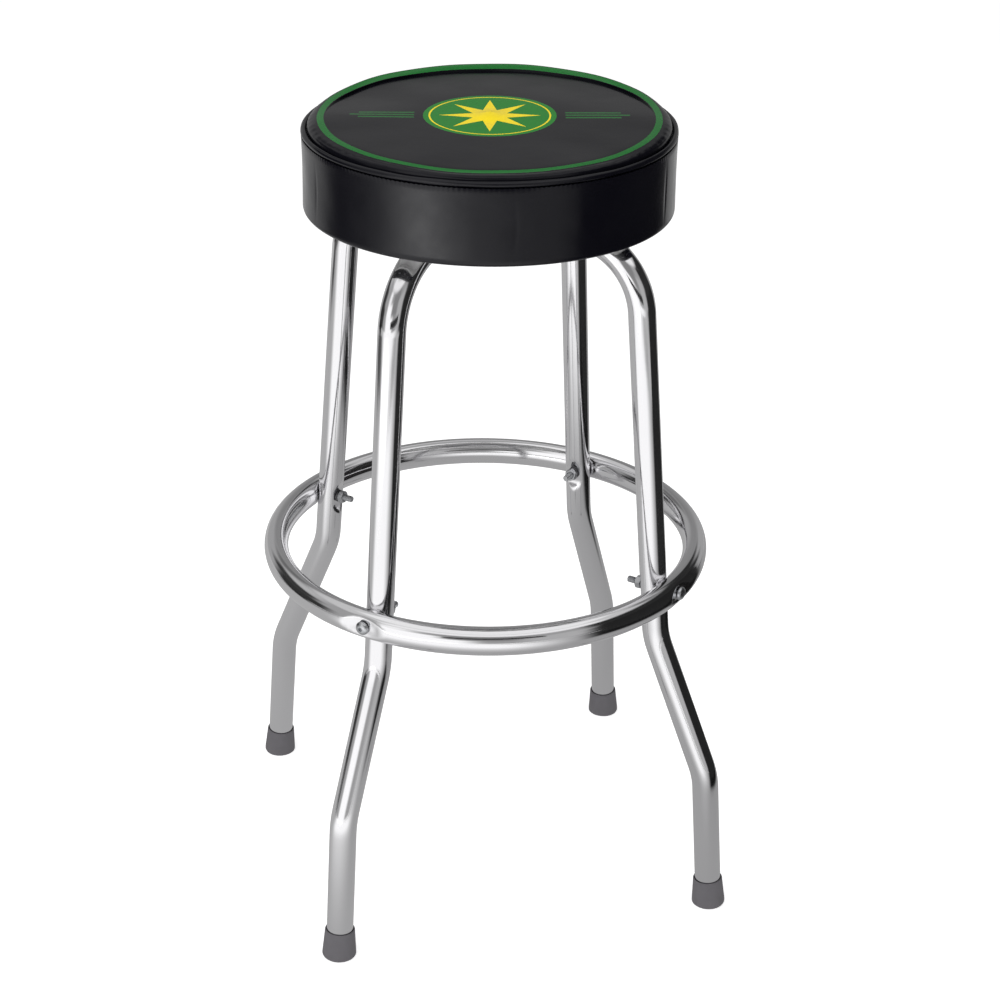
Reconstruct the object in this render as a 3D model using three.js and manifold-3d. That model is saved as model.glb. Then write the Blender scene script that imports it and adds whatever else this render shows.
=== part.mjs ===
// Swivel bar stool: two bent tube frames that cross under the seat, a foot ring bolted round
// the legs, a ball-bearing swivel and a round padded seat.
// Millimetres, +Z up. The origin is on the floor, on the stool's centre line.
// The four legs stand on the X and Y axes: front right on +X, back right on +Y,
// back left on -X and front left on -Y.
import * as THREE from 'three';
import { mergeVertices } from 'three/addons/utils/BufferGeometryUtils.js';
import Module from 'manifold-3d';

const wasm = await Module();
wasm.setup();

// Clearances
const restGap = 0.3;             // between two pieces that rest on each other
const cutOverrun = 5;            // how far a cutting tool runs past the piece

// Leg frames: reach is measured from the stool's centre line to the tube's centre line
const tubeDiameter = 25.4;
const tubeWall = 1.2;
const topRunHeight = 665;        // the level run under the seat
const topCornerReach = 156;      // where a leg's line meets the top run
const topBendRadius = 68;
const upperKneeHeight = 281;
const upperKneeReach = 190.7;
const lowerKneeHeight = 143.4;
const lowerKneeReach = 251.3;
const kneeBendRadius = 75;
const footReach = 263.2;         // at the floor
const crushSpreadShare = 0.25;   // how much wider a top run gets where the two are crushed to cross
const crushMargin = 4;           // flat stretch on each side of the other frame's run
const crushFadeLength = 16;
const recessDepth = 3.5;         // flat on the inside of a leg, for the ring bolt's washer
const recessMargin = 0.9;
const recessFadeLength = 12;

// Foot ring: a tube pressed oval, dented where it nests on a leg
const ringHeight = 333.2;
const ringNest = 5.3;            // how deep a leg sits in the ring's dent
const ringTubeDepth = 23.2;      // along the stool's radius
const ringTubeHeight = 27.4;
const ringTubeWall = 1.2;
const saddleClearance = 0.6;
const dishDepth = 3;             // dish round the bolt head
const dishFadeLength = 7.5;

// Ring bolts, with nut and split lock washer
const boltDiameter = 6.35;
const boltHoleDiameter = 7.1;
const ringBoltTail = 9.2;        // how far the bolt stands out of its nut
const ringBoltHeadDiameter = 13;
const ringBoltHeadHeight = 4.4;
const nutWidth = 11.1;
const nutHeight = 5.6;
const threadClearance = 0.25;
const washerDiameter = 12.2;
const washerThickness = 1.6;
const washerSlit = 1.5;

// Foot tips
const tipHeight = 28;
const tipSole = 4.5;
const tipWall = 1.4;             // at the mouth
const tipFlare = 1.85;           // how much further out the wall stands at the floor
const tipEdgeBevel = 1.2;
const tipSink = 2;               // cut away so that the sole lies flat on the floor

// Swivel: two pressed plates on a ring of balls, held by a rolled hub
const plateSide = 146;
const plateCornerRadius = 12;
const plateThickness = 2.5;
const swivelHeight = 18.2;       // from the lower plate's underside to the upper plate's top
const plateBoltReach = 70;       // from the swivel axis, for the bolts and the screws
const raceRadius = 36;
const ballDiameter = 6.35;
const ballCount = 12;
const ballClearance = 0.25;
const raceRise = 4.2;            // the race stands this much above the plate
const raceHalfWidth = 2.5;
const domeRadius = 45;
const domeFade = 5;
const hubRadius = 12;
const hubBoreRadius = 9.5;
const hubFlangeRadius = 17;
const hubFlangeThickness = 1.9;
const cageThickness = 1.5;
const cageHalfWidth = 6;
const cagePocketClearance = 0.55;

// Bolts from the lower plate through the leg frames, and screws from the upper plate into the board
const plateBoltTail = 3.3;
const plateBoltHeadDiameter = 13.5;
const plateBoltHeadHeight = 3.4;
const screwDiameter = 4.8;
const screwHoleDiameter = 5.6;
const screwLength = 13;
const screwHeadDiameter = 9.4;
const screwHeadHeight = 2.9;

// Seat
const seatRadius = 168.5;        // outside of the side band
const vinylThickness = 1.5;
const boardThickness = 12;
const rimHeight = 18.7;          // the rim hangs under the board's edge, round the swivel
const rimWidth = 15;
const bandHeight = 72.3;         // from the seat's underside to the middle of the welt
const bandEdgeRadius = 6;
const bandWrapWidth = 17;        // turned in under the rim
const bandDrawIn = 1.1;
const weltDiameter = 5.5;
const weltProud = 1.7;           // the welt stands this much outside the band
const crownHeight = 14.6;        // from the middle of the welt to the seat's highest point
const crownFullness = 0.28;      // smaller is flatter on top and steeper at the edge
const crownPower = 6;

// How finely round shapes are cut
const tubeSides = 14;
const boreSides = 8;
const bendStep = THREE.MathUtils.degToRad(14);
const ringSteps = 7;             // between two legs
const seatSegments = 36;
const raceSegments = 24;
const tipSegments = 16;
const shankSides = 10;
const holeSides = 8;
const arcSteps = 4;              // on a small arc of an outline

const tubeRadius = tubeDiameter / 2;
const boltRadius = boltDiameter / 2;
const boltHoleRadius = boltHoleDiameter / 2;
const legLean = Math.atan2(upperKneeReach - topCornerReach, topRunHeight - upperKneeHeight);
const footLean = Math.atan2(footReach - lowerKneeReach, lowerKneeHeight);

// Lengths along a tube that follow from the pieces it meets
const crushFlatLength = tubeDiameter * (1 + crushSpreadShare) + 2 * crushMargin;
const recessFlatLength = washerDiameter + 2 * recessMargin;
const ringRadius = legReachAt(ringHeight) + tubeRadius / Math.cos(legLean)
  + ringTubeDepth / 2 - ringNest;

// Seat heights
const swivelBase = topRunHeight + tubeRadius + restGap;
const boardBottom = swivelBase + swivelHeight + restGap;
const boardTop = boardBottom + boardThickness;
const boardReach = seatRadius - vinylThickness - bandDrawIn - restGap;
const rimBottom = boardBottom - restGap - rimHeight;
const seatUnderside = rimBottom - restGap - vinylThickness;
const weltHeight = seatUnderside + bandHeight;
const weltRadius = weltDiameter / 2;
const weltReach = seatRadius + weltProud - weltRadius;
const panelReach = weltReach - weltRadius - restGap;

const quarterTurn = Math.PI / 2;
const legs = [
  { name: 'front_right', turn: 0 },
  { name: 'back_right', turn: quarterTurn },
  { name: 'back_left', turn: 2 * quarterTurn },
  { name: 'front_left', turn: 3 * quarterTurn },
];

// Between the legs, where the upper plate's corners are
const screws = [
  { name: 'right', turn: 0.5 * quarterTurn },
  { name: 'back', turn: 1.5 * quarterTurn },
  { name: 'left', turn: 2.5 * quarterTurn },
  { name: 'front', turn: 3.5 * quarterTurn },
];

const finishes = {
  chrome: { color: 0xc9cacc, roughness: 0.12, metalness: 1 },
  zinc: { color: 0xa9acae, roughness: 0.35, metalness: 1 },
  darkZinc: { color: 0x6f7073, roughness: 0.4, metalness: 1 },
  pressedSteel: { color: 0x8d8f92, roughness: 0.4, metalness: 1 },
  ballSteel: { color: 0xd4d5d8, roughness: 0.08, metalness: 1 },
  rubber: { color: 0x5d5b60, roughness: 0.75, metalness: 0 },
  vinyl: { color: 0x1b1b1d, roughness: 0.22, metalness: 0 },
  welt: { color: 0x141416, roughness: 0.25, metalness: 0 },
  foam: { color: 0xe2d7b4, roughness: 0.95, metalness: 0 },
  plywood: { color: 0xb98f5e, roughness: 0.7, metalness: 0 },
};

const upward = new THREE.Vector3(0, 0, 1);

// 1 over a flat stretch, fading to 0 on both sides of it
function plateau(distance, flatLength, fadeLength) {
  const half = flatLength / 2;
  return 1 - THREE.MathUtils.smoothstep(Math.abs(distance), half, half + fadeLength);
}

// A closed mesh with merged corners, as a solid for cutting and joining
function toSolid(geometry) {
  const bare = geometry.clone();
  bare.deleteAttribute('normal');
  bare.deleteAttribute('uv');
  const merged = mergeVertices(bare);
  const corners = [];
  const index = merged.index.array;
  for (let i = 0; i < index.length; i += 3) {
    const [a, b, c] = [index[i], index[i + 1], index[i + 2]];
    if (a !== b && b !== c && c !== a) corners.push(a, b, c);
  }
  return new wasm.Manifold(new wasm.Mesh({
    numProp: 3,
    vertProperties: merged.attributes.position.array,
    triVerts: Uint32Array.from(corners),
  }));
}

function toGeometry(solid) {
  const mesh = solid.getMesh();
  const geometry = new THREE.BufferGeometry();
  geometry.setAttribute('position', new THREE.BufferAttribute(mesh.vertProperties, 3));
  geometry.setIndex(new THREE.BufferAttribute(mesh.triVerts, 1));
  geometry.computeVertexNormals();
  return geometry;
}

// Cuts every tool out of a body and gives the result as one geometry
function cut(body, tools) {
  return toGeometry(tools.reduce((solid, tool) => solid.subtract(toSolid(tool)), toSolid(body)));
}

// A surface through rings of points, closed into a loop or with both ends capped
function loft(rings, isLoop) {
  const sides = rings[0].length;
  const index = [];
  const spans = isLoop ? rings.length : rings.length - 1;
  for (let i = 0; i < spans; i++) {
    const here = i * sides;
    const next = ((i + 1) % rings.length) * sides;
    for (let k = 0; k < sides; k++) {
      const after = (k + 1) % sides;
      index.push(here + k, here + after, next + after, here + k, next + after, next + k);
    }
  }
  const last = (rings.length - 1) * sides;
  for (let k = 1; !isLoop && k < sides - 1; k++) {
    index.push(0, k + 1, k, last, last + k, last + k + 1);
  }
  const geometry = new THREE.BufferGeometry().setFromPoints(rings.flat());
  geometry.setIndex(index);
  geometry.computeVertexNormals();
  return geometry;
}

// A solid of revolution about Z; the profile is [radius, height] pairs, up the outside
function revolve(profile, segments) {
  const points = profile.map(([radius, height]) => new THREE.Vector2(radius, height));
  return new THREE.LatheGeometry(points, segments).rotateX(Math.PI / 2);
}

// A rod along Z from low to high
function rod(radius, low, high, sides) {
  const geometry = new THREE.CylinderGeometry(radius, radius, high - low, sides);
  return geometry.rotateX(Math.PI / 2).translate(0, 0, (low + high) / 2);
}

// An extruded outline that starts at a height
function slab(shape, low, thickness, curveSegments) {
  const settings = { depth: thickness, bevelEnabled: false, curveSegments };
  return new THREE.ExtrudeGeometry(shape, settings).translate(0, 0, low);
}

function addMesh(parent, name, geometry, finish) {
  const mesh = new THREE.Mesh(geometry, new THREE.MeshStandardMaterial(finishes[finish]));
  mesh.name = name;
  parent.add(mesh);
  return mesh;
}

// Where a leg's centre line runs at a height between its upper knee and the top run
function legReachAt(height) {
  return upperKneeReach - (height - upperKneeHeight) * Math.tan(legLean);
}

// The centre line through the corners, with each inner corner rounded by its radius.
// A station is a point [reach, height], its direction and its distance along the line.
function roundedLine(corners, radii) {
  const stations = [];
  const addStation = (point, direction) => {
    const before = stations.at(-1);
    const distance = before ? before.distance + point.distanceTo(before.point) : 0;
    stations.push({ point, direction, distance });
  };
  for (let i = 0; i < corners.length; i++) {
    const into = i > 0 ? corners[i].clone().sub(corners[i - 1]).normalize() : null;
    const out = i < corners.length - 1 ? corners[i + 1].clone().sub(corners[i]).normalize() : null;
    if (!into || !out) {
      addStation(corners[i].clone(), into ?? out);
      continue;
    }
    const turn = Math.acos(THREE.MathUtils.clamp(into.dot(out), -1, 1));
    const side = Math.sign(into.cross(out));
    const tangent = radii[i] * Math.tan(turn / 2);
    const start = corners[i].clone().addScaledVector(into, -tangent);
    const toCentre = new THREE.Vector2(-into.y, into.x).multiplyScalar(side * radii[i]);
    const centre = start.clone().add(toCentre);
    const steps = Math.max(2, Math.round(turn / bendStep));
    for (let k = 0; k <= steps; k++) {
      const angle = side * turn * (k / steps);
      const direction = into.clone().rotateAround(new THREE.Vector2(), angle);
      addStation(start.clone().rotateAround(centre, angle), direction);
    }
  }
  return stations;
}

// The distance along a line at which it first reaches a height
function distanceAt(line, height) {
  const next = line.findIndex((station) => station.point.y > height);
  const from = line[next - 1];
  const share = (height - from.point.y) / (line[next].point.y - from.point.y);
  return THREE.MathUtils.lerp(from.distance, line[next].distance, share);
}

// The same line with more stations, at the given distances along its straight stretches
function withStations(stations, distances) {
  const result = [...stations];
  for (const distance of distances) {
    const next = result.findIndex((station) => station.distance > distance);
    const from = result[next - 1];
    const share = (distance - from.distance) / (result[next].distance - from.distance);
    const point = from.point.clone().lerp(result[next].point, share);
    const direction = result[next].point.clone().sub(from.point).normalize();
    result.splice(next, 0, { point, direction, distance });
  }
  return result;
}

// Distances on both sides of a dent's middle, where its shape changes
function dentDistances(middle, flatLength, fadeLength) {
  const fadeShares = [0, 0.5, 1];
  const offsets = fadeShares.map((share) => flatLength / 2 + share * fadeLength);
  return [...offsets.map((offset) => middle - offset).reverse(),
    ...offsets.map((offset) => middle + offset)];
}

// One inverted U of tube in the XZ plane. crushSide is -1 where its top run is crushed
// from below and passes over the other frame, and +1 where it is crushed from above.
function legFrameGeometry(crushSide) {
  const corner = (reach, height) => new THREE.Vector2(reach, height);
  const endHeight = (tipSole + restGap) * Math.cos(footLean);
  const endReach = footReach - endHeight * Math.tan(footLean);
  const half = [
    corner(endReach, endHeight),
    corner(lowerKneeReach, lowerKneeHeight),
    corner(upperKneeReach, upperKneeHeight),
    corner(topCornerReach, topRunHeight),
  ];
  const corners = [...half, ...half.map((point) => corner(-point.x, point.y)).reverse()];
  const halfRadii = [0, kneeBendRadius, kneeBendRadius, topBendRadius];
  const line = roundedLine(corners, [...halfRadii, ...halfRadii.toReversed()]);
  const fullLength = line.at(-1).distance;

  const boltDistance = distanceAt(line, ringHeight);
  const recesses = [boltDistance, fullLength - boltDistance];

  const detailed = withStations(line, [
    ...recesses.flatMap((middle) => dentDistances(middle, recessFlatLength, recessFadeLength)),
    ...dentDistances(fullLength / 2, crushFlatLength, crushFadeLength),
  ]);

  // the tube's skin at one station, moved in by inset for the bore
  const ringAt = (station, inset, sides) => {
    const crush = plateau(station.distance - fullLength / 2, crushFlatLength, crushFadeLength);
    const recess = Math.max(...recesses.map((middle) => (
      plateau(station.distance - middle, recessFlatLength, recessFadeLength))));
    const crushDepth = crush * (tubeRadius + restGap / 2);
    let low = -tubeRadius + recess * recessDepth;
    let high = tubeRadius;
    if (crushSide < 0) low += crushDepth;
    else high -= crushDepth;
    const spread = 1 + crush * crushSpreadShare;
    const { x: alongX, y: alongZ } = station.direction;
    const points = [];
    for (let k = 0; k < sides; k++) {
      const angle = (2 * Math.PI * k) / sides;
      const radius = tubeRadius - inset;
      const outward = THREE.MathUtils.clamp(radius * Math.cos(angle), low + inset, high - inset);
      const across = radius * Math.sin(angle) * spread;
      points.push(new THREE.Vector3(
        station.point.x + outward * alongZ,
        across,
        station.point.y - outward * alongX,
      ));
    }
    return points;
  };

  const skin = loft(detailed.map((station) => ringAt(station, 0, tubeSides)), false);
  const first = detailed[0];
  const final = detailed.at(-1);
  const runOut = (station, sign) => ({
    ...station,
    point: station.point.clone().addScaledVector(station.direction, sign * cutOverrun),
  });
  const boreLine = [runOut(first, -1), ...detailed.slice(1, -1), runOut(final, 1)];
  const bore = loft(boreLine.map((station) => ringAt(station, tubeWall, boreSides)), false);

  const boltHoles = [];
  for (const side of [-1, 1]) {
    const reach = legReachAt(ringHeight);
    const hole = rod(boltHoleRadius, reach - tubeDiameter, reach + tubeDiameter, holeSides);
    boltHoles.push(hole.rotateY((side * Math.PI) / 2).translate(0, 0, ringHeight));
    const low = topRunHeight - tubeDiameter;
    const high = topRunHeight + tubeDiameter;
    const upright = rod(boltHoleRadius, low, high, holeSides);
    boltHoles.push(upright.translate(side * plateBoltReach, 0, 0));
  }
  return cut(skin, [bore, ...boltHoles]);
}

// The foot ring's skin, moved in by inset for the bore. Its stations are close together
// near a leg, at shares of the leg's radius, and further apart between two legs.
function ringSkin(inset, sides, nearShares) {
  const nearOffsets = nearShares.map((share) => share * tubeRadius);
  const nearAngles = nearOffsets.map((offset) => offset / ringRadius);
  const lastNear = nearAngles.at(-1);
  const angles = [];
  for (let leg = 0; leg < legs.length; leg++) {
    const middle = leg * quarterTurn;
    angles.push(...nearAngles.slice(1).reverse().map((angle) => middle - angle));
    angles.push(...nearAngles.map((angle) => middle + angle));
    for (let k = 1; k < ringSteps; k++) {
      angles.push(middle + lastNear + ((quarterTurn - 2 * lastNear) * k) / ringSteps);
    }
  }
  const rings = angles.map((angle) => {
    const nearest = Math.round(angle / quarterTurn) * quarterTurn;
    const points = [];
    for (let k = 0; k < sides; k++) {
      const around = (2 * Math.PI * k) / sides;
      const reach = ringRadius + (ringTubeDepth / 2 - inset) * Math.cos(around);
      const rise = -(ringTubeHeight / 2 - inset) * Math.sin(around);
      const point = new THREE.Vector3(reach, 0, rise).applyAxisAngle(upward, angle - nearest);
      dentRing(point, inset, Math.cos(around));
      points.push(point.applyAxisAngle(upward, nearest));
    }
    return points;
  });
  return loft(rings, true).translate(0, 0, ringHeight);
}

// Dents a point of the ring near a leg that stands on +X: a saddle that follows the leg on
// the inside and a dish for the bolt head on the outside
function dentRing(point, inset, side) {
  const saddleRadius = tubeRadius + saddleClearance + inset;
  if (side < 0 && Math.abs(point.y) < saddleRadius) {
    const bulge = Math.sqrt(saddleRadius ** 2 - point.y ** 2) / Math.cos(legLean);
    point.x = Math.max(point.x, legReachAt(ringHeight + point.z) + bulge);
  }
  if (side > 0) {
    const away = Math.hypot(point.y, point.z);
    point.x -= dishDepth * plateau(away, ringBoltHeadDiameter, dishFadeLength);
  }
}

function footRingGeometry() {
  const skinShares = [0, 0.25, 0.5, 0.75, 1, 1.4];
  const boreShares = [0, 0.5, 1, 1.4];
  const skin = ringSkin(0, tubeSides, skinShares);
  const bore = ringSkin(ringTubeWall, boreSides, boreShares);
  const holes = legs.map((leg) => rod(boltHoleRadius, ringRadius - ringTubeDepth,
    ringRadius + ringTubeDepth, holeSides)
    .rotateY(Math.PI / 2).rotateZ(leg.turn).translate(0, 0, ringHeight));
  return cut(skin, [bore, ...holes]);
}

// A bolt whose shank runs down from height 0 and whose domed head stands on it
function boltGeometry(radius, length, headDiameter, headHeight) {
  const headRadius = headDiameter / 2;
  const domeShares = [[1, 0], [1, 0.35], [0.72, 0.9]];
  const head = domeShares.map(([across, up]) => [headRadius * across, headHeight * up]);
  return revolve([[0, -length], [radius, -length], [radius, 0], ...head, [0, headHeight]],
    shankSides);
}

// A hexagonal nut that stands on height 0
function nutGeometry() {
  const outline = new THREE.Shape();
  const cornerReach = nutWidth / 2 / Math.cos(Math.PI / 6);
  for (let k = 0; k < 6; k++) {
    const angle = (k * Math.PI) / 3;
    const place = [cornerReach * Math.cos(angle), cornerReach * Math.sin(angle)];
    if (k === 0) outline.moveTo(...place);
    else outline.lineTo(...place);
  }
  outline.closePath();
  const hole = new THREE.Path().absarc(0, 0, boltRadius + threadClearance, 0, 2 * Math.PI, true);
  outline.holes.push(hole);
  return slab(outline, 0, nutHeight, arcSteps);
}

// A split lock washer that lies on height 0
function lockWasherGeometry() {
  const outer = washerDiameter / 2;
  const inner = boltRadius + threadClearance;
  const halfSlit = washerSlit / 2;
  const outline = new THREE.Shape();
  const outerAngle = Math.asin(halfSlit / outer);
  const innerAngle = Math.asin(halfSlit / inner);
  outline.absarc(0, 0, outer, outerAngle, 2 * Math.PI - outerAngle, false);
  outline.absarc(0, 0, inner, 2 * Math.PI - innerAngle, innerAngle, true);
  outline.closePath();
  return slab(outline, 0, washerThickness, arcSteps);
}

// A rubber cup that leans with the foot of the tube and is cut flat at the floor
function tipGeometry() {
  const boreRadius = tubeRadius + restGap;
  const topRadius = boreRadius + tipWall;
  const floorRadius = topRadius + tipFlare;
  const flareShare = 0.45;
  const cup = revolve([
    [0, -tipSink],
    [floorRadius - tipEdgeBevel, -tipSink],
    [floorRadius, tipEdgeBevel],
    [(topRadius + floorRadius) / 2, tipHeight * flareShare],
    [topRadius, tipHeight - tipEdgeBevel],
    [topRadius - tipEdgeBevel / 2, tipHeight],
    [boreRadius, tipHeight],
    [boreRadius, tipSole],
    [0, tipSole],
  ], tipSegments).rotateY(-footLean);
  const floor = new THREE.BoxGeometry(4 * floorRadius, 4 * floorRadius, tipHeight);
  return cut(cup, [floor.translate(0, 0, -tipHeight / 2)]);
}

// A pressed swivel plate with its race upwards and its corners on the X and Y axes
function swivelPlateGeometry(holeRadius) {
  const half = plateSide / 2 - plateCornerRadius;
  const outline = new THREE.Shape();
  const quarterTurns = [[1, 1], [-1, 1], [-1, -1], [1, -1]];
  quarterTurns.forEach(([x, y], k) => {
    const start = (k * Math.PI) / 2;
    outline.absarc(x * half, y * half, plateCornerRadius, start, start + Math.PI / 2, false);
  });
  outline.closePath();
  const opening = (x, y, radius) => new THREE.Path().absarc(x, y, radius, 0, 2 * Math.PI, true);
  const holeReach = plateBoltReach / Math.SQRT2;
  for (const [x, y] of quarterTurns) {
    outline.holes.push(opening(x * holeReach, y * holeReach, holeRadius));
  }
  outline.holes.push(opening(0, 0, domeRadius));
  const sheet = slab(outline, 0, plateThickness, arcSteps).rotateZ(Math.PI / 4);

  const middle = swivelHeight / 2;
  const grooveRadius = ballDiameter / 2 + ballClearance;
  const grooveDepth = raceRise + plateThickness - (middle - grooveRadius);
  const bore = hubRadius + restGap;
  // across the race, as shares of its half width and of the groove's depth
  const grooveShares = [[-1, 0], [-0.5, 0.75], [0, 1], [0.5, 0.75], [1, 0]];
  const across = grooveShares.map(([out, down]) => (
    [raceRadius + out * (raceHalfWidth + ballClearance), down * grooveDepth]));
  const top = raceRise + plateThickness;
  const race = revolve([
    [bore, raceRise],
    ...across.map(([radius, down]) => [radius, raceRise - down]),
    [domeRadius, raceRise],
    [domeRadius + domeFade, 0],
    [domeRadius + 2 * domeFade, 0],
    [domeRadius + 2 * domeFade, plateThickness],
    [domeRadius + domeFade, plateThickness],
    [domeRadius, top],
    ...across.toReversed().map(([radius, down]) => [radius, top - down]),
    [bore, top],
    [bore, raceRise],
  ], raceSegments);
  return toGeometry(toSolid(sheet).add(toSolid(race)));
}

// The rolled hub that holds the two plates together, from the lower plate's underside up
function hubGeometry() {
  const lowTop = raceRise - restGap;
  const highBottom = swivelHeight - raceRise + restGap;
  return revolve([
    [hubBoreRadius, lowTop - hubFlangeThickness],
    [hubFlangeRadius, lowTop - hubFlangeThickness],
    [hubFlangeRadius, lowTop],
    [hubRadius, lowTop],
    [hubRadius, highBottom],
    [hubFlangeRadius, highBottom],
    [hubFlangeRadius, highBottom + hubFlangeThickness],
    [hubBoreRadius, highBottom + hubFlangeThickness],
    [hubBoreRadius, lowTop - hubFlangeThickness],
  ], raceSegments);
}

function ballPlaces() {
  const places = [];
  for (let k = 0; k < ballCount; k++) {
    const angle = (2 * Math.PI * (k + 1 / 2)) / ballCount;
    places.push([raceRadius * Math.cos(angle), raceRadius * Math.sin(angle)]);
  }
  return places;
}

// The flat ring that keeps the balls apart
function cageGeometry() {
  const outline = new THREE.Shape();
  outline.absarc(0, 0, raceRadius + cageHalfWidth, 0, 2 * Math.PI, false);
  const circle = (x, y, radius) => new THREE.Path().absarc(x, y, radius, 0, 2 * Math.PI, true);
  outline.holes.push(circle(0, 0, raceRadius - cageHalfWidth));
  const ring = slab(outline, 0, cageThickness, raceSegments / 2);
  const pocketRadius = ballDiameter / 2 + cagePocketClearance;
  const pockets = ballPlaces().map(([x, y]) => (
    rod(pocketRadius, -cutOverrun, cageThickness + cutOverrun, holeSides).translate(x, y, 0)));
  return cut(ring, pockets);
}

function boardGeometry() {
  const disc = revolve([
    [0, boardBottom], [boardReach, boardBottom], [boardReach, boardTop], [0, boardTop],
  ], seatSegments);
  const pilots = screws.map((screw) => rod(screwHoleDiameter / 2, boardBottom - cutOverrun,
    boardTop + cutOverrun, holeSides)
    .translate(plateBoltReach, 0, 0).rotateZ(screw.turn));
  return cut(disc, pilots);
}

// The hoop under the board's edge, bevelled where the side band turns in
function rimGeometry() {
  const bevel = bandEdgeRadius - vinylThickness;
  const inner = boardReach - rimWidth;
  const rimTop = boardBottom - restGap;
  return revolve([
    [inner, rimBottom], [boardReach - bevel, rimBottom], [boardReach, rimBottom + bevel],
    [boardReach, rimTop], [inner, rimTop], [inner, rimBottom],
  ], seatSegments);
}

// The crowned line of the top panel, from the middle out to its edge, moved in by inset
function crownLine(inset) {
  const reachShares = [0, 0.4, 0.65, 0.8, 0.9, 0.955, 0.985, 1];
  const points = reachShares.map((share) => [
    share * panelReach,
    weltHeight + crownHeight * (1 - share ** crownPower) ** crownFullness,
  ]);
  return points.map(([reach, height], i) => {
    const [r0, h0] = points[Math.max(i - 1, 0)];
    const [r1, h1] = points[Math.min(i + 1, points.length - 1)];
    const length = Math.hypot(r1 - r0, h1 - h0);
    const isMiddle = i === 0;
    const across = isMiddle ? 0 : (inset * (h1 - h0)) / length;
    return [reach + across, height - (isMiddle ? inset : (inset * (r1 - r0)) / length)];
  });
}

function topPanelGeometry() {
  const outside = crownLine(0);
  const inside = crownLine(vinylThickness);
  return revolve([...inside, ...outside.toReversed()], seatSegments);
}

// The side band's outer line from its turned-in edge up to the welt, moved in by inset
function bandLine(inset) {
  const outer = seatRadius - inset;
  const edge = bandEdgeRadius - inset;
  const arcCentre = [seatRadius - bandEdgeRadius, seatUnderside + bandEdgeRadius];
  const top = weltHeight - weltRadius - restGap;
  const points = [[seatRadius - bandWrapWidth, seatUnderside + inset]];
  const edgeSteps = 3;
  for (let k = 0; k <= edgeSteps; k++) {
    const angle = -Math.PI / 2 + (k * Math.PI) / 2 / edgeSteps;
    points.push([arcCentre[0] + edge * Math.cos(angle), arcCentre[1] + edge * Math.sin(angle)]);
  }
  const sideShares = [0.4, 0.75];
  for (const share of sideShares) {
    const drawn = bandDrawIn * Math.sin(Math.PI * share);
    points.push([outer - drawn, THREE.MathUtils.lerp(arcCentre[1], top, share)]);
  }
  points.push([outer, top]);
  return points;
}

function sideBandGeometry() {
  const outside = bandLine(0);
  const inside = bandLine(vinylThickness);
  return revolve([...outside, ...inside.toReversed(), outside[0]], seatSegments);
}

function weltGeometry() {
  const profile = [];
  const steps = 8;
  for (let k = 0; k <= steps; k++) {
    const angle = (2 * Math.PI * (k % steps)) / steps;
    profile.push([weltReach + weltRadius * Math.cos(angle), weltHeight + weltRadius * Math.sin(angle)]);
  }
  return revolve(profile, seatSegments);
}

function foamGeometry() {
  const skinInset = vinylThickness + restGap;
  const side = bandLine(skinInset + bandDrawIn).filter(([, height]) => height > boardTop + restGap);
  const crown = crownLine(skinInset).toReversed();
  const shoulder = [crown[0][0], side.at(-1)[1]];
  const bottom = boardTop + restGap;
  return revolve([[0, bottom], [side[0][0], bottom], ...side, shoulder, ...crown.slice(1)],
    seatSegments);
}

const stool = new THREE.Group();
const base = new THREE.Group();
const bearing = new THREE.Group();
const seat = new THREE.Group();
stool.add(base, bearing, seat);

addMesh(base, 'leg_frame_upper', legFrameGeometry(-1), 'chrome');
addMesh(base, 'leg_frame_lower', legFrameGeometry(1), 'chrome').rotation.z = quarterTurn;
addMesh(base, 'foot_ring', footRingGeometry(), 'chrome');

// On each leg: its tip, the ring bolt with washer and nut, and the bolt to the swivel plate
const ringHeadSeat = ringRadius + ringTubeDepth / 2 - dishDepth + restGap;
const recessFace = legReachAt(ringHeight) - (tubeRadius - recessDepth) / Math.cos(legLean);
const washerFace = recessFace - (washerDiameter / 2) * Math.tan(legLean) - restGap;
const ringNutFace = washerFace - washerThickness - restGap;
const ringBoltLength = ringHeadSeat - ringNutFace + nutHeight + ringBoltTail;
const plateHeadSeat = swivelBase + plateThickness + restGap;
const plateNutFace = topRunHeight - tubeRadius - restGap;
const plateBoltLength = plateHeadSeat - plateNutFace + nutHeight + plateBoltTail;
for (const leg of legs) {
  const side = new THREE.Group();
  side.rotation.z = leg.turn;
  base.add(side);
  const tip = addMesh(side, `foot_tip_${leg.name}`, tipGeometry(), 'rubber');
  tip.position.x = footReach;
  const ringBolt = boltGeometry(boltRadius, ringBoltLength, ringBoltHeadDiameter, ringBoltHeadHeight);
  const outwardPieces = [
    [`ring_bolt_${leg.name}`, ringBolt, ringHeadSeat, 'zinc'],
    [`ring_lock_washer_${leg.name}`, lockWasherGeometry(), washerFace - washerThickness, 'darkZinc'],
    [`ring_nut_${leg.name}`, nutGeometry(), ringNutFace - nutHeight, 'zinc'],
  ];
  for (const [name, geometry, reach, finish] of outwardPieces) {
    const mesh = addMesh(side, name, geometry, finish);
    mesh.rotation.y = quarterTurn;
    mesh.position.set(reach, 0, ringHeight);
  }
  const plateBolt = boltGeometry(
    boltRadius, plateBoltLength, plateBoltHeadDiameter, plateBoltHeadHeight);
  addMesh(side, `plate_bolt_${leg.name}`, plateBolt, 'zinc')
    .position.set(plateBoltReach, 0, plateHeadSeat);
  addMesh(side, `plate_nut_${leg.name}`, nutGeometry(), 'zinc')
    .position.set(plateBoltReach, 0, plateNutFace - nutHeight);
}
addMesh(base, 'swivel_lower_plate', swivelPlateGeometry(boltHoleRadius), 'pressedSteel')
  .position.z = swivelBase;

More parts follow.
